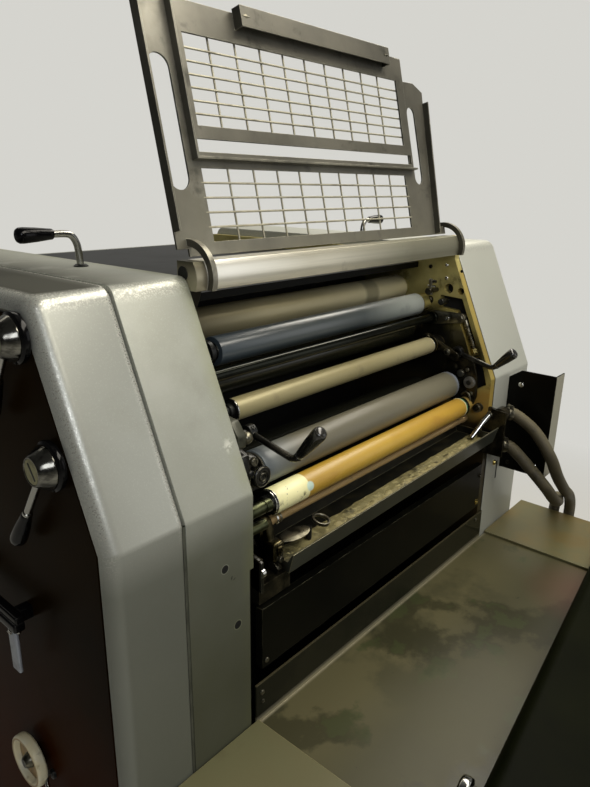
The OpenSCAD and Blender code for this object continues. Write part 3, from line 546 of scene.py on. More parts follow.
# Grey enamel on the table's rails: oil stains, chips and a bare bright edge
rail_enamel = surface("grey_enamel_oil_stained", "#5b5a40", 0.44, 0.0, [
    ([("cloud", 90, 0.4, 0.62)], 0.6, "#5d583f", 0.34),
    ([("ragged", 60, 0.55, 0.6)], 0.4, "#4c4733", 0.28),
    ([("span", "X", 380, 400), ("cloud", 60, 0.4, 0.6)], 0.6, "#6a5a34", 0.3),
    ([("ragged", 7, 0.71, 0.75)], 0.7, "#26241c", 0.4),
    ([("edge", 1.6, 0.03, 0.2)], 0.8, "#b5ab80", 0.35, 0.6),
], [("cloud", 6, 0.06)], 1.2, **{"Specular IOR Level": 0.2})
# Dark green enamel worn matt: almost black, with a painted sheen on top
hood_enamel = surface("dark_green_enamel", "#070903", 0.4, 0.0, [
    ([("cloud", 160, 0.42, 0.66)], 0.6, "#121407", 0.46),
    # Painted sheen: a little lighter on top
    ([("span", "Z", 838, 850), ("cloud", 90, 0.35, 0.6)], 0.4, "#16180a", 0.5),
], [("cloud", 8, 0.05)], 6.0, **{"Specular IOR Level": 0.02})
# Black enamel on sheet: dusty, pale along worn edges, with a light flange on the guard plate
black_enamel = surface("black_enamel_sheet", "#070705", 0.3, 0.0, [
    ([("cloud", 110, 0.45, 0.66)], 0.6, "#0f0f0a", 0.36),
    ([("ragged", 30, 0.6, 0.7)], 0.4, "#1d1c12", 0.4),
    ([("facing", "Y", -0.5, -0.9), ("span", "Y", -565, -575)], 0.9, "#9a9888", 0.4),
    ([("edge", 1.2, 0.03, 0.2), ("ragged", 10, 0.45, 0.58)], 0.6, "#7d7a62", 0.34, 0.7),
], [("cloud", 12, 0.08)], 0.8, **{"Specular IOR Level": 0.1})
# Chrome plate: mirror bright, with dull patches and stains
chrome = surface("chrome_plate", "#a9a9a4", 0.12, 1.0, [
    ([("cloud", 30, 0.5, 0.7)], 0.4, "#8a887e", 0.2),
    ([("ragged", 10, 0.6, 0.72)], 0.4, "#5f5c52", 0.3),
])
# Phenolic grips: deep gloss black, rubbed grey at the end
phenolic = surface("black_phenolic_moulded", "#070708", 0.12, 0.0, [
    ([("cloud", 18, 0.5, 0.7)], 0.4, "#0f0f0e", 0.26),
    ([("edge", 2.5, 0.02, 0.2), ("cloud", 6, 0.4, 0.6)], 0.3, "#4d4b46", 0.3),
], [("cloud", 6, 0.03)], **{"Specular IOR Level": 0.16, "Coat Weight": 0.05})
# Machined steel: mid grey, with black oil in the hollows
oily_steel = surface("machined_steel_oily", "#6d6a5c", 0.3, 0.9, [
    ([("ragged", 14, 0.48, 0.6)], 0.8, "#24221b", 0.28),
    ([("cloud", 20, 0.5, 0.65)], 0.5, "#96917c", 0.25),
], [("cloud", 3, 0.12)], 0.6)
# Spring steel: bright wire with brown oil between the coils
spring_wire = surface("spring_steel_wire", "#a39d86", 0.3, 1.0, [
    ([("ragged", 6, 0.5, 0.6)], 0.7, "#4c4635", 0.4),
])
# Steel drum with a dried ink film: olive-grey with thin dark rings, painted shade at the left end
# and painted light on the right half
ink_drum_steel = surface("steel_drum_with_dried_ink_film", "#b3a982", 0.36, 0.2, [
    ([("cloud", 120, 0.42, 0.62, (0.3, 1, 1))], 0.6, "#c0b58e", 0.38),
    ([("span", "X", 60, 66), ("cloud", 40, 0.3, 0.6)], 0.15, "#a79d7a", 0.4),
    # Painted shade at the left end, painted light on the right half
    ([("span", "X", -120, -310)], 0.85, "#4a4433", 0.4),
    ([("span", "X", 0, 200)], 0.5, "#e8dfb8", 0.4),
    ([("fine", 60, 0.62, 0.7, (1, 0.02, 0.02))], 0.5, "#3c3829", 0.35),
], [("fine", 1.5, 0.02, (1, 0.05, 0.05))])
# Vulcanised rubber: blue-black, with a painted sheen that is pale toward the drive end and dark at
# the operator end
blue_rubber = surface("vulcanised_rubber_blue_black", "#3a4244", 0.3, 0.0, [
    ([("cloud", 70, 0.4, 0.65, (0.4, 1, 1))], 0.6, "#4a504f", 0.3),
    # Painted sheen: pale toward the drive end, darker at the operator end
    ([("span", "X", 90, 270)], 0.85, "#a6aca6", 0.42),
    ([("span", "X", -120, -320)], 0.75, "#38444e", 0.3),
    ([("ragged", 40, 0.58, 0.7)], 0.4, "#30373a", 0.28),
], [("fine", 1.4, 0.015, (0.4, 1, 1))], **{"Specular IOR Level": 1.0})
# Ground steel roller: an olive oil film over a soft metal sheen
olive_chrome_steel = surface("ground_steel_with_olive_oil_film", "#9a916a", 0.42, 0.25, [
    ([("cloud", 60, 0.42, 0.66, (0.15, 1, 1))], 0.6, "#776f4a", 0.5),
    # Painted light: paler toward the drive end
    ([("span", "X", 60, 300)], 0.5, "#c6be98", 0.46),
    ([("ragged", 30, 0.6, 0.72)], 0.35, "#5d5640", 0.5),
])
# Ground rubber: slate grey-brown, bluish at both ends
slate_rubber = surface("ground_rubber_slate_blue", "#625f50", 0.36, 0.0, [
    ([("cloud", 80, 0.4, 0.65, (0.4, 1, 1))], 0.7, "#706c5a", 0.4),
    ([("span", "X", 180, -60)], 0.5, "#5c5848", 0.42),
    ([("span", "X", -180, -270)], 0.8, "#6c757a", 0.38),
    ([("span", "X", 298, 311)], 0.7, "#7f8da6", 0.5),
    ([("ragged", 30, 0.62, 0.74)], 0.3, "#3f444b", 0.4),
], [("fine", 1.2, 0.02)])
# Cloth sleeve soaked amber: a clean cream length, ink specks and a cyan tab at the left end
damping_sleeve = surface("cotton_sleeve_amber_and_cream", "#a8842a", 0.42, 0.0, [
    ([("cloud", 50, 0.4, 0.62, (0.5, 1, 1))], 0.7, "#b99838", 0.38),
    ([("ragged", 24, 0.55, 0.68, (0.3, 1, 1))], 0.4, "#8c5f22", 0.5),
    # Painted light: a little paler toward the drive end
    ([("span", "X", 120, 300)], 0.4, "#b18c33", 0.45),
    ([("span", "X", -206, -208)], 1.0, "#f0ebb4", 0.45),
    ([("span", "X", -206, -208), ("cloud", 24, 0.45, 0.62)], 0.6, "#dcd99c", 0.5),
    ([("spot", (-205, -449, 1118), 8.5, 6.5)], 0.9, "#b9d3c8", 0.35),
    ([("spot", (-222, -452, 1108), 9, 3), ("ragged", 4, 0.5, 0.54)], 0.9, "#2c2c22", 0.5),
    ([("spot", (-272, -450, 1104), 16, 4), ("ragged", 5, 0.5, 0.55)], 0.8, "#4a4a38", 0.5),
    ([("span", "X", -206, -210), ("ragged", 7, 0.6, 0.64),
      ("fine", 40, 0.5, 0.56)], 0.9, "#2a2a22", 0.6),
], [("fine", 1.3, 0.05), ("cloud", 16, 0.12)], **{"Specular IOR Level": 0.7})
# Copper-plated rod: a warm highlight broken by brown stains
copper = surface("copper_plated_rod", "#c4a878", 0.3, 0.6, [
    ([("cloud", 40, 0.42, 0.62, (0.2, 1, 1))], 0.6, "#9c8458", 0.36),
    ([("ragged", 12, 0.58, 0.68)], 0.45, "#54442c", 0.45),
])
# Grey enamel on the pan's sheet: greasy, with bright worn edges, dark stains inside and black
# toward the back as painted shade under the rollers
pan_enamel = surface("grey_enamel_on_pan_sheet", "#34362f", 0.3, 0.2, [
    ([("cloud", 70, 0.42, 0.64)], 0.6, "#484a40", 0.36),
    ([("ragged", 20, 0.58, 0.68)], 0.5, "#2a2a22", 0.3),
    # Painted shade: black toward the back, under the rollers
    ([("span", "Y", -480, -470)], 0.95, "#141410", 0.3),
    ([("span", "Y", -480, -470), ("ragged", 14, 0.5, 0.6)], 0.6, "#2f2c1e", 0.4),
    ([("edge", 1.4, 0.02, 0.18)], 0.9, "#b5ac88", 0.3, 0.8),
], [("cloud", 8, 0.1)], 0.8)
# Dried gum and paper dust: a matt brown layer with pale crumbs
crust = surface("dried_gum_and_paper_dust", "#77704a", 0.62, 0.0, [
    ([("ragged", 26, 0.52, 0.62)], 0.85, "#2c2a1d", 0.4),
    ([("ragged", 5, 0.54, 0.62)], 0.7, "#9f976c", 0.7),
], [("ragged", 3, 0.3)])
# Ivory urea moulding: cream with a bluish sheen, amber on the face
ivory = surface("ivory_urea_moulded", "#cfc6a4", 0.3, 0.0, [
    ([("cloud", 22, 0.45, 0.65)], 0.5, "#bcc4bf", 0.36),
    ([("facing", "X", -0.9, -1.0)], 0.9, "#8a6a2c", 0.36),
    ([("ragged", 8, 0.58, 0.7)], 0.5, "#6d5c34", 0.5),
], [("cloud", 5, 0.05)])
# Etched brass face: dull yellow-grey with dark stains
dial_face = surface("etched_brass_dial_face", "#8d8a66", 0.34, 0.7, [
    ([("ragged", 6, 0.5, 0.62)], 0.6, "#4d4a33", 0.45),
])
# Painted shade: flat black standing for the shade deep in the bay, in the cover joint, in slots and
# in grooves
shade_black = surface("painted_shade_black", "#090908", 0.5, 0.0, [
    ([("cloud", 70, 0.5, 0.7)], 0.5, "#171611", 0.36),
], [("cloud", 10, 0.3)])

# Chrome on a turned dial: fine dark rings that break up the reflection
dial_chrome = surface("chrome_plate_on_turned_dial", "#74736c", 0.14, 1.0, [
    ([("fine", 3, 0.45, 0.6, (0.05, 1, 1))], 0.6, "#2b2a26", 0.2),
])
# Enamel deep in the joint: grey-green under grime
gap_grime = surface("grimy_enamel_in_the_joint", "#4a4c42", 0.5, 0.0, [
    ([("ragged", 30, 0.45, 0.6)], 0.7, "#2b2c24", 0.5),
])
# Amber urea moulding: brown-gold behind the cream rim
amber_face = surface("amber_urea_moulded", "#8a6a2e", 0.34, 0.0, [
    ([("ragged", 9, 0.5, 0.62)], 0.6, "#4b3617", 0.45),
], [("cloud", 4, 0.05)])
# Light grey enamel on steel: pale, with scuffs
lever_grey = surface("light_grey_enamel_on_steel", "#8d9299", 0.42, 0.2, [
    ([("ragged", 14, 0.55, 0.68)], 0.5, "#5e6165", 0.5),
], [("cloud", 6, 0.08)])
# Cut rubber end: matt blue-grey
roller_end_blue = surface("rubber_end_face_cut", "#6f7d92", 0.5, 0.0, [
    ([("ragged", 12, 0.5, 0.66)], 0.5, "#4a5566", 0.5),
])
# Inked rubber: black with an olive sheen and fine rings
olive_black = surface("rubber_black_with_olive_ink", "#23231a", 0.22, 0.0, [
    ([("cloud", 60, 0.42, 0.64, (0.3, 1, 1))], 0.7, "#33321f", 0.3),
    ([("fine", 2, 0.45, 0.7, (0.02, 1, 1))], 0.3, "#121210", 0.3),
])
# Polished steel: a bright glint with a few stains
bright_ring = surface("polished_steel_edge", "#d6d6d0", 0.16, 1.0, [
    ([("ragged", 6, 0.55, 0.68)], 0.5, "#8b887c", 0.3),
])
# Inked plate: deep gloss black
plate_black = surface("inked_plate_gloss_black", "#11120f", 0.14, 0.0, [
    ([("cloud", 90, 0.42, 0.64, (0.3, 1, 1))], 0.6, "#1d1d15", 0.24),
], **{"Coat Weight": 0.5, "Coat Roughness": 0.1})
# Cotton binding: matt cream, stained
cream_ring = surface("cotton_binding_cream", "#cfc49b", 0.6, 0.0, [
    ([("ragged", 5, 0.5, 0.62)], 0.5, "#9a8c5f", 0.6),
])
# Green enamel: a small green glint at the sleeve's end
green_ring = surface("green_enamel_gloss", "#1f6b43", 0.25, 0.0, [
    ([("ragged", 8, 0.5, 0.62)], 0.6, "#123a28", 0.3),
])
# Blackened polished shaft: a long dark mirror with scuffs
black_shaft = surface("blackened_steel_shaft_polished", "#20221d", 0.14, 0.9, [
    ([("cloud", 50, 0.42, 0.64, (0.2, 1, 1))], 0.7, "#2f3127", 0.22),
    ([("ragged", 20, 0.6, 0.7)], 0.7, "#0f0f0d", 0.3),
])
# Turned brass: a yellow glint with brown tarnish
brass_bright = surface("brass_turned_bright", "#c9b773", 0.24, 1.0, [
    ([("ragged", 6, 0.52, 0.64)], 0.7, "#6b5a2a", 0.36),
])
# Blackened forging: rubbed grey where the hand slides
crank_steel = surface("blackened_forging_worn", "#2c2c29", 0.24, 0.85, [
    ([("cloud", 24, 0.45, 0.62)], 0.7, "#6a675d", 0.28),
    ([("ragged", 9, 0.55, 0.66)], 0.6, "#171714", 0.34),
])
# Phenolic on the cranks: brown-black, worn pale at the end
worn_phenolic = surface("black_phenolic_worn_at_the_end", "#131311", 0.16, 0.0, [
    ([("cloud", 14, 0.42, 0.6)], 0.5, "#2b2a25", 0.24),
    ([("edge", 3, 0.015, 0.12), ("cloud", 7, 0.35, 0.55)], 0.7, "#8d8a80", 0.26),
], [("cloud", 6, 0.04)], **{"Coat Weight": 0.5})
# Aluminium casting: olive-grey, oily and rough
pale_casting = surface("aluminium_casting_oily", "#44453a", 0.4, 0.3, [
    ([("cloud", 14, 0.42, 0.62)], 0.7, "#3c3c30", 0.34),
    ([("ragged", 8, 0.55, 0.66)], 0.7, "#1d1d16", 0.3),
], [("cloud", 3, 0.2)])
# Black oily casting: wet dark, with bright worn edges
black_casting = surface("black_oily_casting", "#131310", 0.26, 0.3, [
    ([("cloud", 16, 0.45, 0.62)], 0.6, "#25241c", 0.2),
    ([("edge", 1.4, 0.03, 0.2), ("ragged", 6, 0.42, 0.58)], 0.8, "#7d7a66", 0.28),
], [("cloud", 3, 0.2)])
# Chromed bar ends: a mirror dimmed by green oil
green_chrome = surface("chromed_bar_with_green_oil", "#54573f", 0.28, 1.0, [
    ([("cloud", 14, 0.42, 0.6)], 0.7, "#2f3322", 0.3),
    ([("ragged", 7, 0.55, 0.66)], 0.7, "#1f2216", 0.3),
])
# Cast bronze: black with oil, brown-gold where it is worn
bronze = surface("cast_bronze_black_with_oil", "#3d3825", 0.28, 1.0, [
    ([("ragged", 9, 0.47, 0.6)], 0.8, "#16140c", 0.3),
    ([("cloud", 12, 0.5, 0.64)], 0.6, "#8a8060", 0.24),
], [("cloud", 3, 0.15)])
# Machine steel under black oil: wet dark, with pale edges
oily_dark = surface("machine_steel_black_oil", "#24221a", 0.24, 0.7, [
    ([("cloud", 12, 0.45, 0.6)], 0.7, "#4b4534", 0.26),
    ([("ragged", 9, 0.52, 0.62)], 0.8, "#0d0c09", 0.18),
    ([("edge", 1.2, 0.03, 0.2), ("ragged", 5, 0.42, 0.58)], 0.8, "#8a826a", 0.28),
], [("cloud", 3, 0.25)])
# Grey enamel on a knob: chipped to dark steel
grey_worn = surface("grey_enamel_worn", "#6d6c66", 0.4, 0.3, [
    ([("ragged", 8, 0.5, 0.62)], 0.7, "#33302a", 0.34),
], [("cloud", 3, 0.2)])
# Dried gum on top: pale crumbly islands over the brown layer
crust_light = surface("dried_gum_pale", "#8f865c", 0.6, 0.0, [
    ([("ragged", 9, 0.52, 0.6)], 0.6, "#5a5438", 0.5),
    ([("ragged", 4, 0.55, 0.63)], 0.7, "#b3ab7c", 0.7),
    ([("ragged", 34, 0.58, 0.64)], 0.85, "#26241a", 0.35),
], [("ragged", 3, 0.3)])
# Tinned steel: dull grey with bright edges
worn_tin = surface("tinned_steel_worn", "#6a675a", 0.36, 0.9, [
    ([("cloud", 14, 0.45, 0.62)], 0.7, "#3b382e", 0.42),
    ([("ragged", 6, 0.55, 0.66)], 0.8, "#211f18", 0.4),
    ([("edge", 1.2, 0.03, 0.2)], 0.8, "#b9b5a2", 0.3),
], [("cloud", 4, 0.15)])

# Operator's frame: black oily casting, a bare steel band above it and an olive-grey top
operator_casting = surface("black_casting_and_cover_enamel", "#14130f", 0.34, 0.3, [
    ([("cloud", 30, 0.45, 0.65)], 0.6, "#26241a", 0.24),
    ([("span", "Z", 1420.5, 1421.5)], 1.0, "#a29c86", 0.32, 0.7),
    ([("span", "Z", 1440, 1458), ("span", "Y", -410, -380)], 0.9, "#3f3d2c", 0.4),
], [("cloud", 5, 0.2)], 1.2)

# Sizes and places that the pieces share with the construction
HALF_DEPTH, TOP, FOOT = 480, 1439, 60
BEND, RUN = 1173, 118
STEEP = math.atan2(TOP - BEND, RUN)
PANEL = -574.5
GUARD_BAR, GUARD_LEAN = (-345, 1436), math.radians(13.4)


def front(z, inset=0):
    """How far forward the tower's front lies at a height, set in by inset."""
    bend = BEND - inset * (1 - math.sin(STEEP)) / math.cos(STEEP)
    if z <= bend:
        return -HALF_DEPTH + inset
    return -HALF_DEPTH + inset / math.sin(STEEP) + (z - BEND) / math.tan(STEEP)


def side_shape(low, high, inset=0.0):
    """The tower's outline seen from the side, as (y, z)."""
    bend = BEND - inset * (1 - math.sin(STEEP)) / math.cos(STEEP)
    half = [(-HALF_DEPTH + inset, low), (-HALF_DEPTH + inset, bend), (front(high, inset), high)]
    return half + [(-a, b) for a, b in reversed(half)]


def across_x(outline, x0, x1):
    """A drawing of y and z stretched from x0 to x1."""
    shape = bmesh.new()
    face = shape.faces.new([shape.verts.new((x0, y, z)) for y, z in outline])
    return pulled(shape, face, (x1 - x0, 0, 0))


def sheet_x(outline, x0, x1, radius=0.6):
    """A flat piece across X with its edges broken."""
    return tidy(rounded(across_x(outline, x0, x1), radius, 2))


def join(shape, other):
    """Adds another shape's faces to a shape."""
    part = bpy.data.meshes.new("part")
    other.to_mesh(part)
    other.free()
    shape.from_mesh(part)
    bpy.data.meshes.remove(part)
    return shape


def solid(*points):
    """A lathe profile that closes on the axis at both ends."""
    return [(points[0][0], 0), *points, (points[-1][0], 0)]


def screw(place, toward, radius=5.0, height=3.5, kind="hex"):
    """A screw head: hex with a chamfered top, a socket cap, or a slotted or plain dome."""
    r, h = radius, height
    if kind == "hex":
        shape = turned(solid((0, r), (h * 0.7, r), (h, r * 0.82)), steps=6, crease=20)
        join(shape, turned(solid((-0.2, r * 1.35), (0.8, r * 1.35)), steps=20))
    elif kind == "cap":
        hole = r * 0.5
        shape = turned(
            solid((0, r), (h - 0.6, r), (h, r - 0.6), (h, hole), (h * 0.45, hole * 0.96)), steps=20
        )
    elif kind == "slot":
        shape = turned(
            solid((0, r), (h * 0.5, r * 0.97), (h * 0.85, r * 0.75), (h, r * 0.3)), steps=24
        )
        join(shape, slab((-r, -r * 0.12, h * 0.72), (r, r * 0.12, h + 0.2), 0.1))
    else:
        dome = [(0, 0), (0, r), (h * 0.4, r * 0.98), (h * 0.75, r * 0.8), (h * 0.95, r * 0.45)]
        shape = turned([*dome, (h, 0)], steps=20)
    return moved(shape, place, toward)


def screws(kind, toward, finish, *rows):
    """Screws of one kind and finish: each row is a place, a radius and a height."""
    return [(screw(place, toward, *size, kind), finish) for place, *size in rows]


def arc(centre, radius, start, end, steps):
    """Points on part of a circle, as (a, b) pairs."""
    angles = [math.radians(start + (end - start) * k / steps) for k in range(steps + 1)]
    return [(centre[0] + radius * math.cos(a), centre[1] + radius * math.sin(a)) for a in angles]


# Side covers: folded enamelled sheet with rounded rims
def rim_edges(shape, x, foot=False):
    """Edges of the face at x, without those on the floor side unless asked for."""
    return [
        e
        for e in shape.edges
        if all(abs(v.co.x - x) < 0.01 for v in e.verts)
        and (foot or not all(abs(v.co.z - FOOT) < 0.01 for v in e.verts))
    ]


def folded(x0, x1, top_radius):
    """The tower's outline from x0 to x1, with the folds across it rounded."""
    shape = across_x(side_shape(FOOT, TOP), x0, x1)
    for z, radius in ((BEND, 4), (TOP, top_radius)):
        edges = [
            e
            for e in shape.edges
            if abs(e.verts[0].co.x - e.verts[1].co.x) > 1
            and all(abs(v.co.z - z) < 1 for v in e.verts)
        ]
        rounded(shape, radius, 5, edges)
    return shape


def cover_shell(inner, outer, inner_radius, recess):
    """A closed side cover; a recess sets its outer face in, behind a rim."""
    shape = folded(inner, outer, 14)
    rounded(shape, 20, 7, rim_edges(shape, outer, True))
    rounded(shape, inner_radius, 4, rim_edges(shape, inner))
    if recess:
        side = [f for f in shape.faces if all(abs(v.co.x - outer) < 0.01 for v in f.verts)]
        bmesh.ops.inset_region(shape, faces=side, thickness=6, use_even_offset=True)
        bmesh.ops.translate(
            shape, vec=(recess, 0, 0), verts=list({v for f in side for v in f.verts})
        )
    return tidy(shape, 24)


piece(
    "operator_outer_shell", "machine",
    [(cover_shell(-473.4, -576, 8, 6), cover_enamel)], ["operator_outer_cover"],
)
# A black sheet inside the drive cover: painted shade that keeps the bay's side dark
drive_inside = sheet_x(side_shape(FOOT + 1, 1421, 1), 359.6, 360.4, 0.1)
piece(
    "drive_shell", "machine",
    [(cover_shell(360.2, 543, 2, 0), cover_enamel), (drive_inside, shade_black)], ["drive_cover"],
)

# Inner cover: the wide strip beside the bay, with a notch along its lower edge
GAP_X, STRIP_X, NOTCH_X, BAY_X, NOTCH_TOP = -476, -472.2, -368, -360, 1063
strip_body = folded(STRIP_X, NOTCH_X, 11)
rounded(strip_body, 0.8, 2, rim_edges(strip_body, STRIP_X))
strip_edge = folded(NOTCH_X, BAY_X, 11)
bmesh.ops.bisect_plane(
    strip_edge, geom=strip_edge.verts[:] + strip_edge.edges[:] + strip_edge.faces[:],
    plane_co=(0, 0, NOTCH_TOP), plane_no=(0, 0, -1), clear_outer=True,
)
bmesh.ops.holes_fill(strip_edge, edges=[e for e in strip_edge.edges if len(e.link_faces) == 1])
rounded(strip_edge, 1.6, 2, rim_edges(strip_edge, BAY_X))
strip_low = across_x(
    [(-456, FOOT), (-456, NOTCH_TOP), (456, NOTCH_TOP), (456, FOOT)], NOTCH_X, BAY_X
)
# The fill deep in the joint between the covers: black, as painted shade
gap_fill = across_x(side_shape(FOOT, TOP - 8, 8), GAP_X, -472)
gap_low = across_x(side_shape(FOOT, BEND - 2, 1.2), GAP_X, -472)
lever_boss = turned(solid((0, 10), (2, 10), (4, 7)), (-398, -180, TOP - 0.5))
piece(
    "operator_inner_shell", "machine",
    [
        (tidy(strip_body, 24), strip_enamel), (tidy(strip_edge, 24), strip_enamel),
        (tidy(strip_low), strip_enamel), (tidy(gap_fill), shade_black),
        (tidy(gap_low), gap_grime), (lever_boss, dark_steel),
    ],
    ["operator_inner_cover"],
)


# Dials: a black foot, a chrome cone, a brass face with a slot, and a lever with a grip
def grip(place, toward, length, small=5.6, large=10.6):
    """A tapered phenolic grip with a rounded end."""
    profile = solid(
        (0, small), (1.5, small + 0.9), (6, small + 1.2),
        (length * 0.45, small + (large - small) * 0.72), (length * 0.8, large),
        (length * 0.91, large - 0.3), (length * 0.965, large - 2), (length * 0.99, large - 4.6),
        (length, large - 7),
    )
    return turned(profile, place, toward, 28, 50)


def dial(node, y, z, lean, reach):
    """A dial on the side panel whose lever leans down by an angle and reaches a length."""
    lean = math.radians(lean)
    aim = Vector((0, math.cos(lean), math.sin(lean)))
    centre = Vector((PANEL, y, z))
    foot = solid((2, 25), (4, 28.6), (8, 29.6), (10, 29), (11, 27.4), (12.5, 25.8))
    cone = solid(
        (12.5, 25.2), (13.5, 25.9), (15, 25.6), (27, 18.6), (29.4, 17.2),
        (30.2, 16.2), (30, 15.2), (29.2, 14.6),
    )
    stem = centre - X * 16
    rod = [stem + aim * 20, stem + aim * 40, stem + aim * (reach - 58)]
    ferrule = solid((0, 5.6), (3, 6), (5, 5.4))
    piece(
        node + "_assembly", node,
        [
            (turned(foot, centre, -X), phenolic),
            (turned(cone, centre, -X, 48, 28), dial_chrome),
            (turned(solid((28.0, 14.7), (29.6, 14.4)), centre, -X), dial_face),
            # The slot in the face: black, as painted shade
            (moved(slab((-1.7, -11, 29.2), (1.7, 11, 29.9), 0.2), centre, -X, 35), shade_black),
            (bent(rod, 4.6, 3, 20), chrome),
            (turned(ferrule, stem + aim * (reach - 64), aim), chrome),
            (grip(stem + aim * (reach - 61), aim, 61), phenolic),
        ],
        [node],
    )


dial("upper_dial", -342, 1392, -57, 125)
dial("lower_dial", -390, 1257, -55, 150)

# Handwheel: cream moulded rim, amber face, dark centre screw
wheel = Vector((PANEL, -249, 753))
wheel_rim = [
    (8, 0), (8, 34), (8.6, 37), (10.5, 39.4), (13, 40), (20, 40), (22.6, 39.2),
    (23.8, 37.4), (24, 35), (23.4, 33), (21.6, 31.6), (15.2, 30.6), (15, 0),
]
wheel_face = solid((14.8, 30.8), (15.6, 29.6), (16.6, 20), (15.9, 12))
wheel_screw = solid((15, 12), (17, 11.6), (24, 8.6), (25.6, 6.8))
piece(
    "handwheel_moulding", "ring_handwheel",
    [
        (turned(wheel_rim, wheel, -X, 56, 40), ivory),
        (turned(wheel_face, wheel, -X, 48, 50), amber_face),
        (turned(wheel_screw, wheel, -X, 32), oily_steel),
        # The slot in the screw: black, as painted shade
        (moved(slab((-1, -7, 25.2), (1, 7, 25.9), 0.2), wheel, -X, 20), shade_black),
        (turned(solid((0.4, 15), (8.2, 15)), wheel, -X, 32), phenolic),
    ],
    ["ring_handwheel"],
)
stop_arm = [(-575, -285, 741), (-585, -285, 741), (-590, -296, 733), (-591, -312, 722)]
stop_knob = solid((0, 7), (1, 8), (13, 8), (14, 7))
piece(
    "wheel_stop", "machine",
    [
        (bent(stop_arm, 3, 6), chrome),
        (turned(stop_knob, (-584, -316, 719), -X), chrome),
        (turned(solid((0, 7.5), (4, 7), (5, 5)), (PANEL + 0.3, -285, 741), -X), dark_steel),
    ],
)

# Side bar: a black moulded rail on two posts, and the grey lever that hangs under it
piece(
    "side_bar_moulding", "machine",
    [
        (slab((-608.5, -301, 1005), (-593, -86, 1018), 3.2, 4), phenolic),
        (slab((-605.5, -300, 1016), (-592.5, -87, 1027), 2.4, 3), phenolic),
        (slab((-594.5, -130, 1005.5), (PANEL + 0.2, -100, 1026.5), 1.5), phenolic),
        (slab((-594.5, -286, 1007), (PANEL + 0.2, -270, 1025), 1.5), phenolic),
        (slab((-604, -290, 936), (-598.5, -270, 1006), 2.2, 3), lever_grey),
        (screw((-604, -280, 998), -X, 4.5, 3, "slot"), chrome),
        (screw((-601, -296, 1004.9), -Z, 3.6, 3, "dome"), chrome),
    ],
    ["side_bar"],
)


# Bent levers on the covers' tops
def top_rod(name, place, rise, side, reach):
    """A rod that rises, leans over to one side and ends in a grip."""
    knee = Vector(place) + Z * rise
    line = [Vector(place)] + [
        knee + X * side * out - Z * drop
        for out, drop in ((2, 26), (5, 12), (11, 3.5), (20, 0.5), (reach, 0))
    ]
    piece(
        name + "_rod", name,
        [
            (bent(line, 4.9, 6, 20), chrome),
            (grip(knee + X * side * (reach - 5), X * side, 51, 6.4), phenolic),
        ],
        [name],
    )


top_rod("top_lever", (-398, -180, TOP - 19), 65, -1, 44)
top_rod("rear_lever", (372, -113, TOP + 0.4), 38, 1, 32)


# Guard: round wires and the screws of the handle and the upper frame
def on_guard(x, height, forward=0.0):
    """A place on the raised guard: across, up its sheet and in front of it."""
    return Vector((
        x,
        GUARD_BAR[0] + height * math.sin(GUARD_LEAN) - forward * math.cos(GUARD_LEAN),
        GUARD_BAR[1] + 27 + height * math.cos(GUARD_LEAN) + forward * math.sin(GUARD_LEAN),
    ))


def wires(name, window, columns, rows, forward, node):
    """A grid of wires; the upright ones lie in front of the level ones."""
    left, right, low, high = window
    shape = bmesh.new()
    for j in range(1, rows):
        height = low + (high - low) * j / rows
        ends = [on_guard(x, height, forward) for x in (left - 5, right + 5)]
        join(shape, bent(ends, 1.5, 1, 8))
    for k in range(1, columns):
        x = left + (right - left) * k / columns
        ends = [on_guard(x, height, forward - 2.2) for height in (low - 5, high + 5)]
        join(shape, bent(ends, 1.5, 1, 8))
    piece(name, "guard", [(shape, mesh_wire)], [node])


wires("lower_mesh_wires", (-293, 214, 15, 112), 10, 5, 0.3, "guard_mesh")
wires("upper_mesh_wires", (-288, 219, 166, 283), 10, 7, -1.0, "upper_guard_mesh")
lean_out = Vector((0, -math.cos(GUARD_LEAN), math.sin(GUARD_LEAN)))
piece(
    "guard_screws", "guard",
    screws("slot", lean_out, oily_steel, *((on_guard(x, 315, 17.2), 6.5, 3.5) for x in (-178, 172)))
    + screws("dome", lean_out, dark_steel, *((on_guard(x, 300, 1.2), 4, 2.2) for x in (-300, 236))),
)


# Rollers. Heights along the lathe axis are X, so both ends are where the frames want them.
SHAFT_END = 358


def along(profile, y, z, steps=56, crease=32):
    """A lathe piece whose axis runs along X at y and z."""
    return turned(profile, (0, y, z), X, steps, crease)


def sleeve(y, z, radius, left, right, r):
    """The working surface of a roller with its ends rounded by r."""
    return along(solid(
        (left, radius - r), (left + r * 0.3, radius - r * 0.3), (left + r, radius),
        (right - r, radius), (right - r * 0.3, radius - r * 0.3), (right, radius - r),
    ), y, z)


def journals(y, z, left, right, radius, neck):
    """Both stepped ends with their journals."""
    end, step = SHAFT_END, radius - 0.8
    return join(
        along(solid(
            (-end, step), (1 - end, radius), (left - 9, radius), (left - 9, neck - 1),
            (left - 8, neck), (left - 1, neck), (left - 1, neck + 1.5), (left + 1, neck + 1.5),
        ), y, z, 32),
        along(solid(
            (right - 1, neck + 1.5), (right + 1, neck + 1.5), (right + 1, neck), (right + 8, neck),
            (right + 9, neck - 1), (right + 9, radius), (end - 1, radius), (end, step),
        ), y, z, 32),
    )


def ring(y, z, x0, x1, outer, inner=0.0, bevel=0.6, steps=56):
    """A band round an axis."""
    return along([
        (x0, inner), (x0, outer - bevel), (x0 + bevel, outer),
        (x1 - bevel, outer), (x1, outer - bevel), (x1, inner),
    ], y, z, steps)


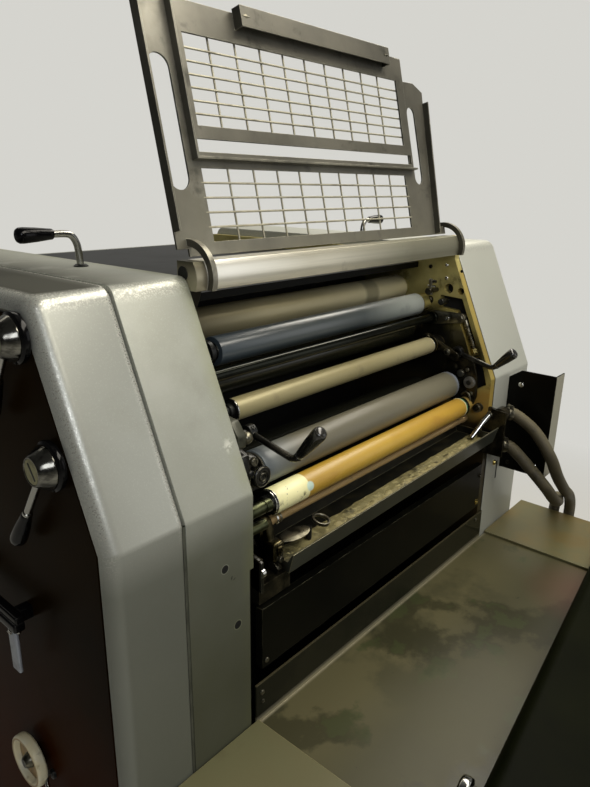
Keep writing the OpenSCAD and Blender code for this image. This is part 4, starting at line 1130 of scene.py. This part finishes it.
def roller(node, axis, radius, ends, r, finish, neck, rings=(), shaft=8, shoulders=None, more=()):
    """A roller: its sleeve with ends rounded by r, and its journals. Each ring is a finish
    and the sizes of ring; more holds other parts."""
    parts = [(sleeve(*axis, radius, *ends, r), finish)]
    parts += [(ring(*axis, *sizes), band) for band, *sizes in rings]
    parts += [*more, (journals(*axis, *(shoulders or ends), shaft, neck), dark_steel)]
    piece(node.replace("_rubber", "") + "_turned", node, parts, [node])


roller("ink_drum", (-250, 1343), 27, (-266, 320), 1.2, ink_drum_steel, 15)
roller("upper_rubber_roller", (-308, 1315), 22.5, (-271, 306), 1.5, blue_rubber, 13, [
    (roller_end_blue, 306, 307.5, 21), (brass_bright, 313, 323, 11.5), (dark_steel, -287, -279, 19),
])
roller("dark_roller", (-290, 1262), 24, (-270, 302), 2, olive_black, 13)
STEEL_AXIS = (-347, 1232)
steel_lip = [
    (-272.6, 10), (-272.6, 16.6), (-272, 17.6), (-270.4, 17.7), (-269.8, 17.4), (-270.5, 10)
]
roller(
    "steel_roller", STEEL_AXIS, 17.5, (-272, 302), 0.8, olive_chrome_steel, 11,
    # Black ring in the groove: painted shade
    [(bright_ring, 301, 303, 17.6, 12), (shade_black, -272.8, -272.2, 15.2, 0, 0.2)],
    more=[(along(steel_lip, *STEEL_AXIS), bright_ring)],
)
roller("form_roller", (-395.5, 1153), 28, (-274, 312), 2.6, slate_rubber, 13, [
    # Black ring in the groove: painted shade
    (oily_steel, -276.5, -273.6, 25.4, 20), (shade_black, -275.2, -274.2, 23, 0, 0.2),
    (roller_end_blue, 311.8, 313, 25, 0, 0.3),
])
roller("plate_cylinder", (-327.3, 1115.1), 45, (-270, 302), 1.2, plate_black, 22, shaft=14)
roller("damping_roller", (-429.5, 1111.2), 20.2, (-276, 302), 2.4, damping_sleeve, 12, [
    # Black ring between the bright rings: painted shade
    (bright_ring, -280.6, -278.6, 19.4, 8), (shade_black, -278.6, -276.4, 17.4, 8),
    (bright_ring, -276.6, -275.0, 19.8, 8), (cream_ring, 300.6, 303.2, 20.5, 8),
    (green_ring, 303.2, 308.5, 19.4, 8), (phenolic, 308.5, 315, 20.6, 8),
], shoulders=(-280, 306))
PAN_ROD = (-427.5, 1078.6)
piece(
    "pan_rod_turned", "pan_rod",
    [
        (along(solid(
            (-358, 6.7), (-357, 7.5), (-289, 7.5), (-288, 8.1), (-282, 8.1), (-281, 7.5),
            (324, 7.5), (325, 8.3), (333, 8.3), (334, 7.5), (357, 7.5), (358, 6.7),
        ), *PAN_ROD, 40), copper),
        (ring(*PAN_ROD, -266, -262, 9.6, 7), bright_ring),
        (ring(*PAN_ROD, -258, -254, 9.0, 7), oily_steel),
    ],
    ["pan_rod"],
)


# Linkage shaft with its collar, bell crank and knuckle
def capsule(a, b, ra, rb, x0, x1, radius=1.2):
    """A link between two eyes in the side view, from x0 to x1."""
    a, b = Vector(a), Vector(b)
    turn = math.degrees(math.atan2(b.y - a.y, b.x - a.x))
    outline = arc(a, ra, turn + 90, turn + 270, 12) + arc(b, rb, turn - 90, turn + 90, 12)
    return sheet_x(outline, x0, x1, radius)


SHAFT, SPRING_TOP, SPRING_LOW = (-338, 1287), (-401, 1293), (-435, 1220)
piece(
    "linkage_assembly", "machine",
    [
        (along(solid(
            (-358, 8), (-342, 8), (-342, 9), (-336, 9), (-336, 12), (-331, 12), (-331, 9),
            (321, 9), (321, 13), (322, 14), (329, 14), (330, 13), (330, 9), (343, 9), (343, 8),
            (357, 8),
        ), *SHAFT, 40), black_shaft),
        (capsule(SHAFT, SPRING_TOP, 15, 10, 331, 341.6, 2.2), oily_steel),
        (along(solid((340, 5), (356.4, 5), (357, 4.4)), *SPRING_TOP, 24), oily_steel),
        (along(solid((328.6, 6), (329.4, 7), (331.4, 7)), *SPRING_TOP, 6, 20), oily_steel),
        (screw((330.4, -373, 1290), -X, 4.5, 3, "cap"), bright_ring),
        (screw((330.8, *SHAFT), -X, 8, 3, "cap"), dark_steel),
    ],
    ["linkage_shaft"],
)
spring_line = Vector((0, SPRING_LOW[0] - SPRING_TOP[0], SPRING_LOW[1] - SPRING_TOP[1]))
reach = spring_line.length
spring_line.normalize()
on_spring = (Vector((351, *SPRING_TOP)), spring_line)
spring_eye = [(346, 5.2), (346, 8), (347, 8.6), (355, 8.6), (356, 8), (356, 5.2)]
spring_nut = solid(
    (reach - 12, 7.4), (reach - 11, 8), (reach - 2, 8), (reach - 1, 7)
)
spring_coil = coil(6.0, 1.6, 45, 8.5)
piece(
    "spring_assembly", "machine",
    [
        (along(spring_eye, *SPRING_TOP, 28), oily_steel),
        (turned(solid((4, 3.2), (reach - 1, 3.2), (reach, 2.4)), *on_spring, 20), spring_wire),
        (turned(solid((6, 5.6), (7, 6.4), (19, 6.4), (20, 5.6)), *on_spring, 24), spring_wire),
        (turned(spring_nut, *on_spring, 6, 20), brass_bright),
        (moved(spring_coil, on_spring[0] + spring_line * 21, spring_line), spring_wire),
    ],
    ["spring_rod"],
)


# Cranks at both ends of the bay: a bent steel arm, a hub with a set screw, a black grip
def crank(name, x, start, knee, tip, pin0, pin1):
    """An arm from its hub to a knee and a tip, all in the plane at x, on a pin along X."""
    start, knee, tip = (Vector((x, *p)) for p in (start, knee, tip))
    out = (knee - start).normalized()
    up = (tip - knee).normalized()
    line = [start, start + out * 12, knee - out * 14, knee - out * 5 + up * 1.2,
            knee + up * 5 - out * 0.5, knee + up * 16]
    length = (tip - knee).length
    hub = solid((x - 7, 11), (x - 6, 12), (x + 6, 12), (x + 7, 11))
    pin = solid((pin0, 6.4), (pin0 + 0.6, 7), (pin1 - 0.6, 7), (pin1, 6.4))
    collar = solid((0, 6.6), (3.5, 6.6), (4.5, 5.4))
    parts = [
        (bent(line, 5.2, 6, 20), crank_steel),
        (grip(knee + up * 12, up, length - 12, 6.0, 10.8), worn_phenolic),
        (turned(collar, knee + up * 8.5, up, 24), crank_steel),
        (along(hub, start.y, start.z, 32), dark_steel),
        (along(pin, start.y, start.z, 28), crank_steel),
        (screw(start + up * 11, up, 3.4, 2.5, "cap"), dark_steel),
    ]
    piece(name + "_forging", name, parts, [name])


crank("operator_crank", -262, (-375, 1202), (-465, 1183), (-513, 1240), -358, -255)
crank("drive_crank", 328, (-404, 1223), (-484, 1202), (-527, 1244), 321, 358)

# Operator's end of the roller bay: bracket, bearing arms, clamp and bar ends
OPERATOR_FACE = -341.9
bracket = [(-396, 1252), (-420, 1250), (-434, 1232), (-434, 1214), (-420, 1206), (-396, 1210)]
bracket_knob = [
    (0, 0), (0, 6), (14, 5.5), (15, 7), (18, 8.6), (22, 8.8), (26, 7.4), (28.5, 4), (29, 0),
]
arm = [(-432, 1200), (-414, 1206), (-380, 1196), (-366, 1160), (-380, 1126), (-410, 1118),
       (-430, 1132), (-436, 1170)]
arm_lug = [(-428, 1190), (-412, 1194), (-404, 1184), (-408, 1166), (-424, 1156), (-430, 1172)]
disc_at = (-301, -429, 1163)
disc = solid(
    (0, 6), (7, 6), (7, 14.4), (8, 15.8), (10.8, 16), (12, 14.8), (12.2, 9.4), (11.2, 8.8),
    (11, 7), (12, 6.4), (12.2, 4.6), (11, 4),
)
disc_eye = [(11.8, 6), (13, 6.4), (13.4, 5.6), (13, 4.8), (11.8, 4.8)]
disc_lip = [(12, 13.8), (12.5, 14.4), (12.2, 15.2), (11.6, 15)]
socket = solid((0, 6.6), (5, 6.6), (6, 5.4), (6, 3.4), (4.4, 3))
upper_bar_end = solid(
    (-358, 9.4), (-330, 9.4), (-329, 8.6), (-327, 8.6), (-327, 9.6), (-317, 9.6), (-315.5, 8.2)
)
pan_lug = [(-476, 1058), (-458, 1064), (-446, 1052), (-446, 1014), (-476, 1010)]
clamp = arc((-431, 1082), 16, 150, -30, 12) + [
    (-420, 1066), (-428, 1046), (-436, 1032), (-456, 1032), (-460, 1048), (-452, 1066),
]
clamp_foot = [(-448, 1032), (-450, 1020), (-466, 1016), (-470, 1026), (-460, 1034)]
clamp_collar = [(-286.5, 9), (-286.5, 13.6), (-284.5, 14), (-283.5, 13), (-283.5, 9)]
clamp_hub = solid((-309, 11), (-307.5, 12.4), (-303.5, 12.4), (-302, 11))
operator_side = [
    (sheet_x(bracket, OPERATOR_FACE, -326, 2.5), pale_casting),
    (turned(bracket_knob, (-336, -423, 1221), X, 24, 50), oily_steel),
    (sheet_x(arm, OPERATOR_FACE, -318, 3), black_casting),
    (sheet_x(arm_lug, -318.5, -300, 2), black_casting),
    (turned(disc, disc_at, -Y, 44), black_casting),
    (turned(disc_eye, disc_at, -Y, 32), oily_steel),
    (turned(disc_lip, disc_at, -Y, 44), oily_steel),
    (turned(socket, (-311, -430, 1187), -Y, 28), oily_steel),
    (turned(solid((0, 4.6), (4, 4.6), (5, 3.6)), (-318, -432, 1172), -Y, 24), dark_steel),
    (along(upper_bar_end, -466, 1136, 32), green_chrome),
    (along(solid((-358, 8), (-322, 8), (-320.5, 6.6)), -463, 1107, 32), green_chrome),
    (sheet_x(pan_lug, -342, -336, 1), black_casting),
    (sheet_x(clamp, -302, -286, 2.2), bronze),
    (along(clamp_collar, -428.5, 1080, 32), bronze),
    (slab((-305, -466, 1036), (-283, -440, 1066), 4, 3), bronze),
    (slab((-299, -468.5, 1046), (-288, -462, 1060), 1.6), bronze),
    (turned(solid((0, 5), (5, 5), (6, 4)), (-294, -466, 1041), -Y, 20), oily_steel),
    (along(clamp_hub, -431, 1076, 32), bronze),
    (sheet_x(clamp_foot, -300, -290, 1.2), oily_dark),
    (along(solid((-360.6, 9.6), (-359.8, 9.6)), -356, 1442, 32), dark_steel),
    (screw((-316.4, -428, 1146), X, 4, 3.4, "cap"), oily_steel),
    (screw((-316.4, -388, 1176), X, 4.6, 3.4, "cap"), dark_steel),
    (screw((-316.4, -398, 1142), X, 4.6, 3.4, "hex"), dark_steel),
    (screw((-341, -474, 1041), X, 6.5, 6, "cap"), bright_ring),
    (screw((-294, -446, 1032.6), -Z, 5, 5, "hex"), dark_steel),
    (screw((-286.4, -441, 1054), X, 4.4, 3, "cap"), bronze),
]
piece("operator_end_fittings", "machine", operator_side)

# Drive end of the roller bay: oily links, bearing plates, screws and the upright valve
DRIVE_FACE, DRIVE_PLATE = 342, 333
bearing_plate = [
    (-440, 1206), (-414, 1212), (-378, 1204), (-364, 1176), (-384, 1130), (-404, 1108),
    (-444, 1108), (-452, 1132), (-450, 1176),
]
link_pin, big_pin = (-386, 1222), (-335, 1244)
valve_stem = solid((0, 5.4), (8, 5.4), (8, 3.6), (24, 3.4), (24, 5), (31, 5), (33, 3))
valve_lever = solid((0, 2.6), (3, 3.2), (9, 3.2), (10, 2))
valve_seat = solid((304, 6.6), (305, 7.4), (318, 7.4), (318, 5), (DRIVE_FACE, 5))
oil_pipe = [(330, -420, 1132), (330, -428, 1140), (330, -437, 1136), (330, -441, 1126),
            (330, -438, 1117)]
drive_side = [
    (capsule(big_pin, (-404, 1215), 11, 9, 316, 322), oily_dark),
    (along(solid((313, 6.6), (314, 7.4), (322, 7.4)), *link_pin, 24), oily_steel),
    (along(solid((311.6, 4), (313.4, 4.4)), *link_pin, 6, 20), bright_ring),
    (along(solid((312.5, 8.4), (313.5, 9), (DRIVE_FACE, 9)), *big_pin, 24), oily_dark),
    (sheet_x(bearing_plate, DRIVE_PLATE, 341.8, 2.5), oily_dark),
    (along(solid((326, 11), (327, 12.4), (333.4, 12.4)), -436, 1162, 32), grey_worn),
    (along(solid((324.6, 5), (326.2, 5.6)), -436, 1162, 24), dark_steel),
    (along(solid((327, 7), (328, 8), (333.4, 8)), -414, 1178, 24), oily_steel),
    (along(valve_seat, -336, 1345, 24), oily_dark),
    (turned(valve_stem, (311, -338, 1338), Z, 20), oily_steel),
    (turned(solid((-9, 2.2), (9, 2.2)), (311, -341, 1356), Y, 14), bright_ring),
    (turned(valve_lever, (311, -341, 1366), -Y, 14), oily_dark),
    (along(solid((318, 6), (320, 7), (DRIVE_FACE, 7)), -360, 1324, 24), black_casting),
    (bent(oil_pipe, 2.2, 6, 12), oily_steel),
]
drive_side += screws(
    "cap", -X, oily_steel,
    ((DRIVE_PLATE, -428, 1188), 4, 3.4), ((DRIVE_PLATE, -440, 1138), 4.4, 3.4),
    ((DRIVE_PLATE, -424, 1122), 4, 3.4),
)
drive_side += screws(
    "hex", -X, oily_dark,
    ((DRIVE_PLATE, -398, 1190), 4.4, 3.4), ((DRIVE_PLATE, -392, 1150), 4.4, 3.4),
    ((DRIVE_FACE, -322, 1322), 6, 4),
)
drive_side += screws(
    "dome", -X, bright_ring,
    ((DRIVE_FACE, -355, 1398), 3.8, 2.4), ((DRIVE_FACE, -357, 1371), 3.8, 2.4),
    ((DRIVE_FACE, -349, 1240), 4, 3),
)
drive_side += [
    (screw((DRIVE_FACE, -390, 1388), -X, 3.2, 2, "dome"), oily_dark),
    (screw((DRIVE_FACE, -318, 1392), -X, 4.2, 3, "cap"), oily_dark),
]
piece("drive_end_fittings", "machine", drive_side)


# Water supply: a bent chrome tube over the pan, hose clamps and the bracket's bolts
def hose_clamp(place, toward):
    """A worm-drive clamp round a hose: a thin band with its screw housing."""
    band = [(-5, 12.4), (-5, 13.9), (-4, 14.3), (4, 14.3), (5, 13.9), (5, 12.4)]
    housing = solid((-8, 2.6), (-7, 3.4), (5, 3.4), (5, 4.4), (8, 4.4))
    aim = Vector(toward).normalized()
    side = aim.cross(Z).normalized()
    seat = Vector(place) + side.cross(aim) * 16.4
    return join(turned(band, place, toward, 36), turned(housing, seat, side, 16))


SUPPLY_PIN, HOSE_AIM = (-457, 1109), (0.75, -0.65, -0.1)
supply_tube = [(352, -500, 1100), (349, -492, 1104), (343, -484, 1100), (330, -477, 1086),
               (315, -470, 1066), (304, -465, 1053)]
tube_collar = [(0, 6.3), (0, 8.2), (1, 8.8), (5, 8.8), (6, 8.2), (6, 6.3)]
supply_plate = [(-506, 1112), (-480, 1116), (-462, 1100), (-462, 1086), (-500, 1086)]
supply = [
    (bent(supply_tube, 6.4, 6, 20), bright_ring),
    (turned(tube_collar, (345, -486, 1101), (-0.62, 0.42, -0.66), 24), oily_steel),
    (along(solid((326, 5), (360, 5)), *SUPPLY_PIN, 20), oily_dark),
    (sheet_x(supply_plate, 342.2, 347, 1.2), oily_dark),
    (hose_clamp((374, -511, 1099), HOSE_AIM), oily_steel),
    (hose_clamp((370, -509, 1028), HOSE_AIM), oily_steel),
]
for axis, x0, x1, radius in (
    (SUPPLY_PIN, 329, 337, 9), (SUPPLY_PIN, 339, 345, 10), ((-470, 1108), 350, 358, 9),
):
    supply.append((ring(*axis, x0, x1, radius, radius - 3, steps=28), oily_steel))
supply += screws("hex", -Y, brass_bright, ((400, -480, 1050), 5, 4), ((400, -480, 970), 5, 4))
piece("water_supply", "machine", supply)

# Pan: what has dried in it, the spoon plate and the ring
PAN_X, PAN_FLOOR, PAN_SKEW, PAN_RISE = 23, 1034.5, -0.0349, 0.0436


def pan_place(x, y, height=0.0):
    """A place in the tilted pan; y runs from the lip to the rear wall, height from its floor."""
    off = x - PAN_X
    return Vector((x, y + PAN_SKEW * off, PAN_FLOOR + PAN_RISE * off + height))


def pan_deposit(x0, x1, y0, y1, columns, rows, thickness, seed):
    """A lumpy layer with a ragged outline that lies on the pan's floor."""
    shape = bmesh.new()
    bmesh.ops.create_grid(shape, x_segments=columns, y_segments=rows, size=0.5)
    for vert in shape.verts:
        u, v = vert.co.x + 0.5, vert.co.y + 0.5
        wave = noise.noise(Vector((u * 26 + seed, v * 3, 0)))
        rag = noise.noise(Vector((u * 90, v * 9, seed)))
        edge = min(1, min(u, 1 - u) * 24, min(v, 1 - v) * 5)
        lump = max(0.05, thickness * edge * (0.6 + 0.9 * wave + 0.5 * rag))
        vert.co = pan_place(x0 + (x1 - x0) * u, y0 + (y1 - y0) * v + wave * 4 * v, lump)
    bmesh.ops.recalc_face_normals(shape, faces=shape.faces)
    bmesh.ops.solidify(shape, geom=shape.faces[:], thickness=0.4)
    return tidy(shape, 80)


spoon = plate(
    [(-30, 0), (-26, -7), (-14, -12), (2, -13), (16, -10), (25, -4), (27, 2), (22, 9), (8, 13),
     (-10, 13), (-24, 8)], 1.4, 0.5,
)
spoon_tilt = Matrix.Identity(4)
for degrees, axis in ((-14, "Z"), (12, "X"), (-4, "Y")):
    spoon_tilt = spoon_tilt @ Matrix.Rotation(math.radians(degrees), 4, axis)
bmesh.ops.transform(
    spoon, matrix=Matrix.Translation(pan_place(-232, -452, 22)) @ spoon_tilt, verts=spoon.verts
)
loop = [(-2.6, 11.8), (-3.2, 13.2), (-2.6, 15), (2.6, 15), (3.2, 13.2), (2.6, 11.8), (0, 11.2),
        (-2.6, 11.8)]
spoon_post = solid((0, 5), (20, 4.2))
piece(
    "pan_contents", "machine",
    [
        (pan_deposit(-285, 330, -484, -437, 220, 16, 2.2, 3), crust),
        (pan_deposit(-165, 328, -480, -452, 180, 10, 3.4, 11), crust_light),
        (spoon, oily_steel),
        (turned(spoon_post, pan_place(-205, -454, 3), (0.1, 0, 1), 16), dark_steel),
        (turned(loop, pan_place(-178, -456, 24), (0.1, -0.25, 1), 40, 60), worn_tin),
    ],
)

# Fasteners and small fittings on the table, the front panel and the black guard plate
TABLE_Y, PANEL_Y, PLATE_X = -482.2, -478.2, 429.6
piece("table_edge_screws", "machine", screws(
    "dome", -Y, oily_steel,
    ((-347, TABLE_Y, 850), 4.2, 2.2), ((-346, TABLE_Y, 834), 3.2, 1.8),
    ((330, TABLE_Y, 856), 4.2, 2.2),
))
piece("front_panel_screws", "machine", [
    (screw((-333, PANEL_Y, 896), -Y, 4.2, 2.2, "dome"), oily_steel),
    (screw((332, PANEL_Y, 898), -Y, 5, 3, "hex"), brass_bright),
    (screw((334, PANEL_Y, 960), -Y, 4, 2.4, "dome"), oily_dark),
])
piece("guard_plate_fittings", "machine", [
    (screw((PLATE_X, -508, 1150), -X, 6, 3.4, "dome"), bright_ring),
    (screw((PLATE_X, -558, 975), -X, 6, 3.4, "dome"), bright_ring),
    (screw((PLATE_X, -498, 968), -X, 5, 3, "dome"), oily_dark),
])

# Hood knob, turned with the hood, which stands a little open
HOOD_HINGE, HOOD_OPEN = Vector((548, -850, 806.3)), math.radians(6.2)
hood_turn = Matrix.Rotation(HOOD_OPEN, 4, "Z")
knob_base = HOOD_HINGE + (hood_turn @ Vector((-822, 150, 24)))
hood_knob = solid(
    (0, 14.6), (2, 15.2), (8, 14.6), (8.6, 16), (9.6, 20.6), (11, 21.8), (13, 22),
    (20, 22), (22, 21.4), (23.4, 19.6), (24, 17),
)
piece(
    "hood_knob_turned", "hood",
    [(turned(hood_knob, knob_base, hood_turn @ Y, 48, 40), chrome)], ["hood_knob"],
)

for finish, dressed in (
    (black_enamel, ("machine_base", "top_cover", "front_panel", "side_guard_plate")),
    (panel_enamel, ("operator_side_panel",)),
    (cover_enamel, ("rear_cover", "front_housing")),
    # The inner bulkhead black, as painted shade deep in the bay
    (shade_black, ("inner_bulkhead",)),
    (operator_casting, ("operator_frame",)),
    (olive_enamel, ("drive_frame",)),
    (table_steel, ("table_plate",)),
    (rail_enamel, ("operator_table_rail", "drive_table_rail")),
    (hood_enamel, ("front_hood",)),
    (bare_steel, ("cross_bar",)),
    (guard_steel, ("guard_frame", "upper_guard_frame")),
    (pan_enamel, ("water_pan",)),
    (oily_dark, ("pan_brackets",)),
):
    for name in dressed:
        dress(name, finish)

# Floor, background and light
BACKDROP, BACKDROP_GLOW = "#dddcd6", 0.92
FLOOR_SIZE, FLOOR_NEAR, FLOOR_FAR = 40, 1400, 3200
# Pale floor paint: matt, with soft shadows under the press, glowing like the backdrop far away
floor_paint = surface("pale_floor", BACKDROP, 0.8, relief=[("cloud", 30, 0.05)])
floor_tree = floor_paint.node_tree
floor_place = add(floor_tree, "ShaderNodeTexCoord").outputs["Object"]
far_away = share(floor_tree, floor_place, "spot", (0, 0, 0), FLOOR_NEAR, FLOOR_FAR)
seen_far = add(
    floor_tree,
    "ShaderNodeMath",
    {0: far_away, 1: add(floor_tree, "ShaderNodeLightPath").outputs["Is Camera Ray"]},
    operation="MULTIPLY",
).outputs[0]
pale = add(
    floor_tree, "ShaderNodeEmission", {"Color": linear(BACKDROP), "Strength": BACKDROP_GLOW}
)
blended = add(
    floor_tree,
    "ShaderNodeMixShader",
    {0: seen_far, 1: floor_tree.nodes["Principled BSDF"].outputs[0], 2: pale.outputs[0]},
)
floor_tree.links.new(blended.outputs[0], floor_tree.nodes["Material Output"].inputs[0])
floor_mesh = bmesh.new()
bmesh.ops.create_grid(floor_mesh, x_segments=1, y_segments=1, size=FLOOR_SIZE)
floor_data = bpy.data.meshes.new("floor")
floor_mesh.to_mesh(floor_data)
floor_mesh.free()
floor_data.materials.append(floor_paint)
floor = bpy.data.objects.new("floor", floor_data)
scene.collection.objects.link(floor)

# The pale wall stands behind the press; the studio's other side stays dim, so that metal and
# gloss show a bright wall at the back and a dark room in front
world = bpy.data.worlds.new("studio")
world.use_nodes = True
scene.world = world
sky = world.node_tree
paths = add(sky, "ShaderNodeLightPath")
toward = add(sky, "ShaderNodeTexCoord").outputs["Generated"]
behind = add(
    sky, "ShaderNodeVectorMath", {0: toward, 1: (0.72, 0.62, 0.3)}, operation="DOT_PRODUCT"
).outputs["Value"]
wall = add(sky, "ShaderNodeMapRange", {0: behind, 1: 0.4, 2: 0.95, 3: 0.08, 4: 0.4}).outputs[0]
clear = add(
    sky,
    "ShaderNodeMath",
    {0: paths.outputs["Is Camera Ray"], 1: paths.outputs["Is Transmission Ray"]},
    operation="MAXIMUM",
).outputs[0]
glossy = paths.outputs["Is Glossy Ray"]
ambient = add(sky, "ShaderNodeMix", {0: glossy, 2: 0.22, 3: wall}).outputs[0]
strength = add(sky, "ShaderNodeMix", {0: clear, 2: ambient, 3: BACKDROP_GLOW}).outputs[0]
background = sky.nodes["Background"]
background.inputs["Color"].default_value = linear(BACKDROP)
sky.links.new(strength, background.inputs["Strength"])


def softbox(name, place, target, size, power, colour="#ffffff"):
    """A rectangular light at a place in metres, aimed at a target."""
    data = bpy.data.lights.new(name, "AREA")
    data.shape = "RECTANGLE"
    data.size, data.size_y = size
    data.energy = power
    data.color = linear(colour)[:3]
    lamp = bpy.data.objects.new(name, data)
    aim = (Vector(target) - Vector(place)).to_track_quat("-Z", "Y")
    lamp.matrix_world = Matrix.Translation(Vector(place)) @ aim.to_matrix().to_4x4()
    scene.collection.objects.link(lamp)


softbox("ceiling_light", (0.9, -0.9, 3.2), (0.2, -0.2, 1.0), (4.4, 1.0), 100, "#fff8ea")
softbox("back_ceiling_light", (0.4, 1.2, 3.2), (0, 0, 1.3), (2.4, 0.6), 8, "#fff8ea")
softbox("side_light", (-1.7, -2.5, 2.5), (0.2, -0.3, 1.1), (1.0, 1.0), 16, "#f6f8ff")
softbox("fill_light", (1.6, -2.6, 1.8), (0.1, -0.4, 1.0), (1.8, 1.8), 8)
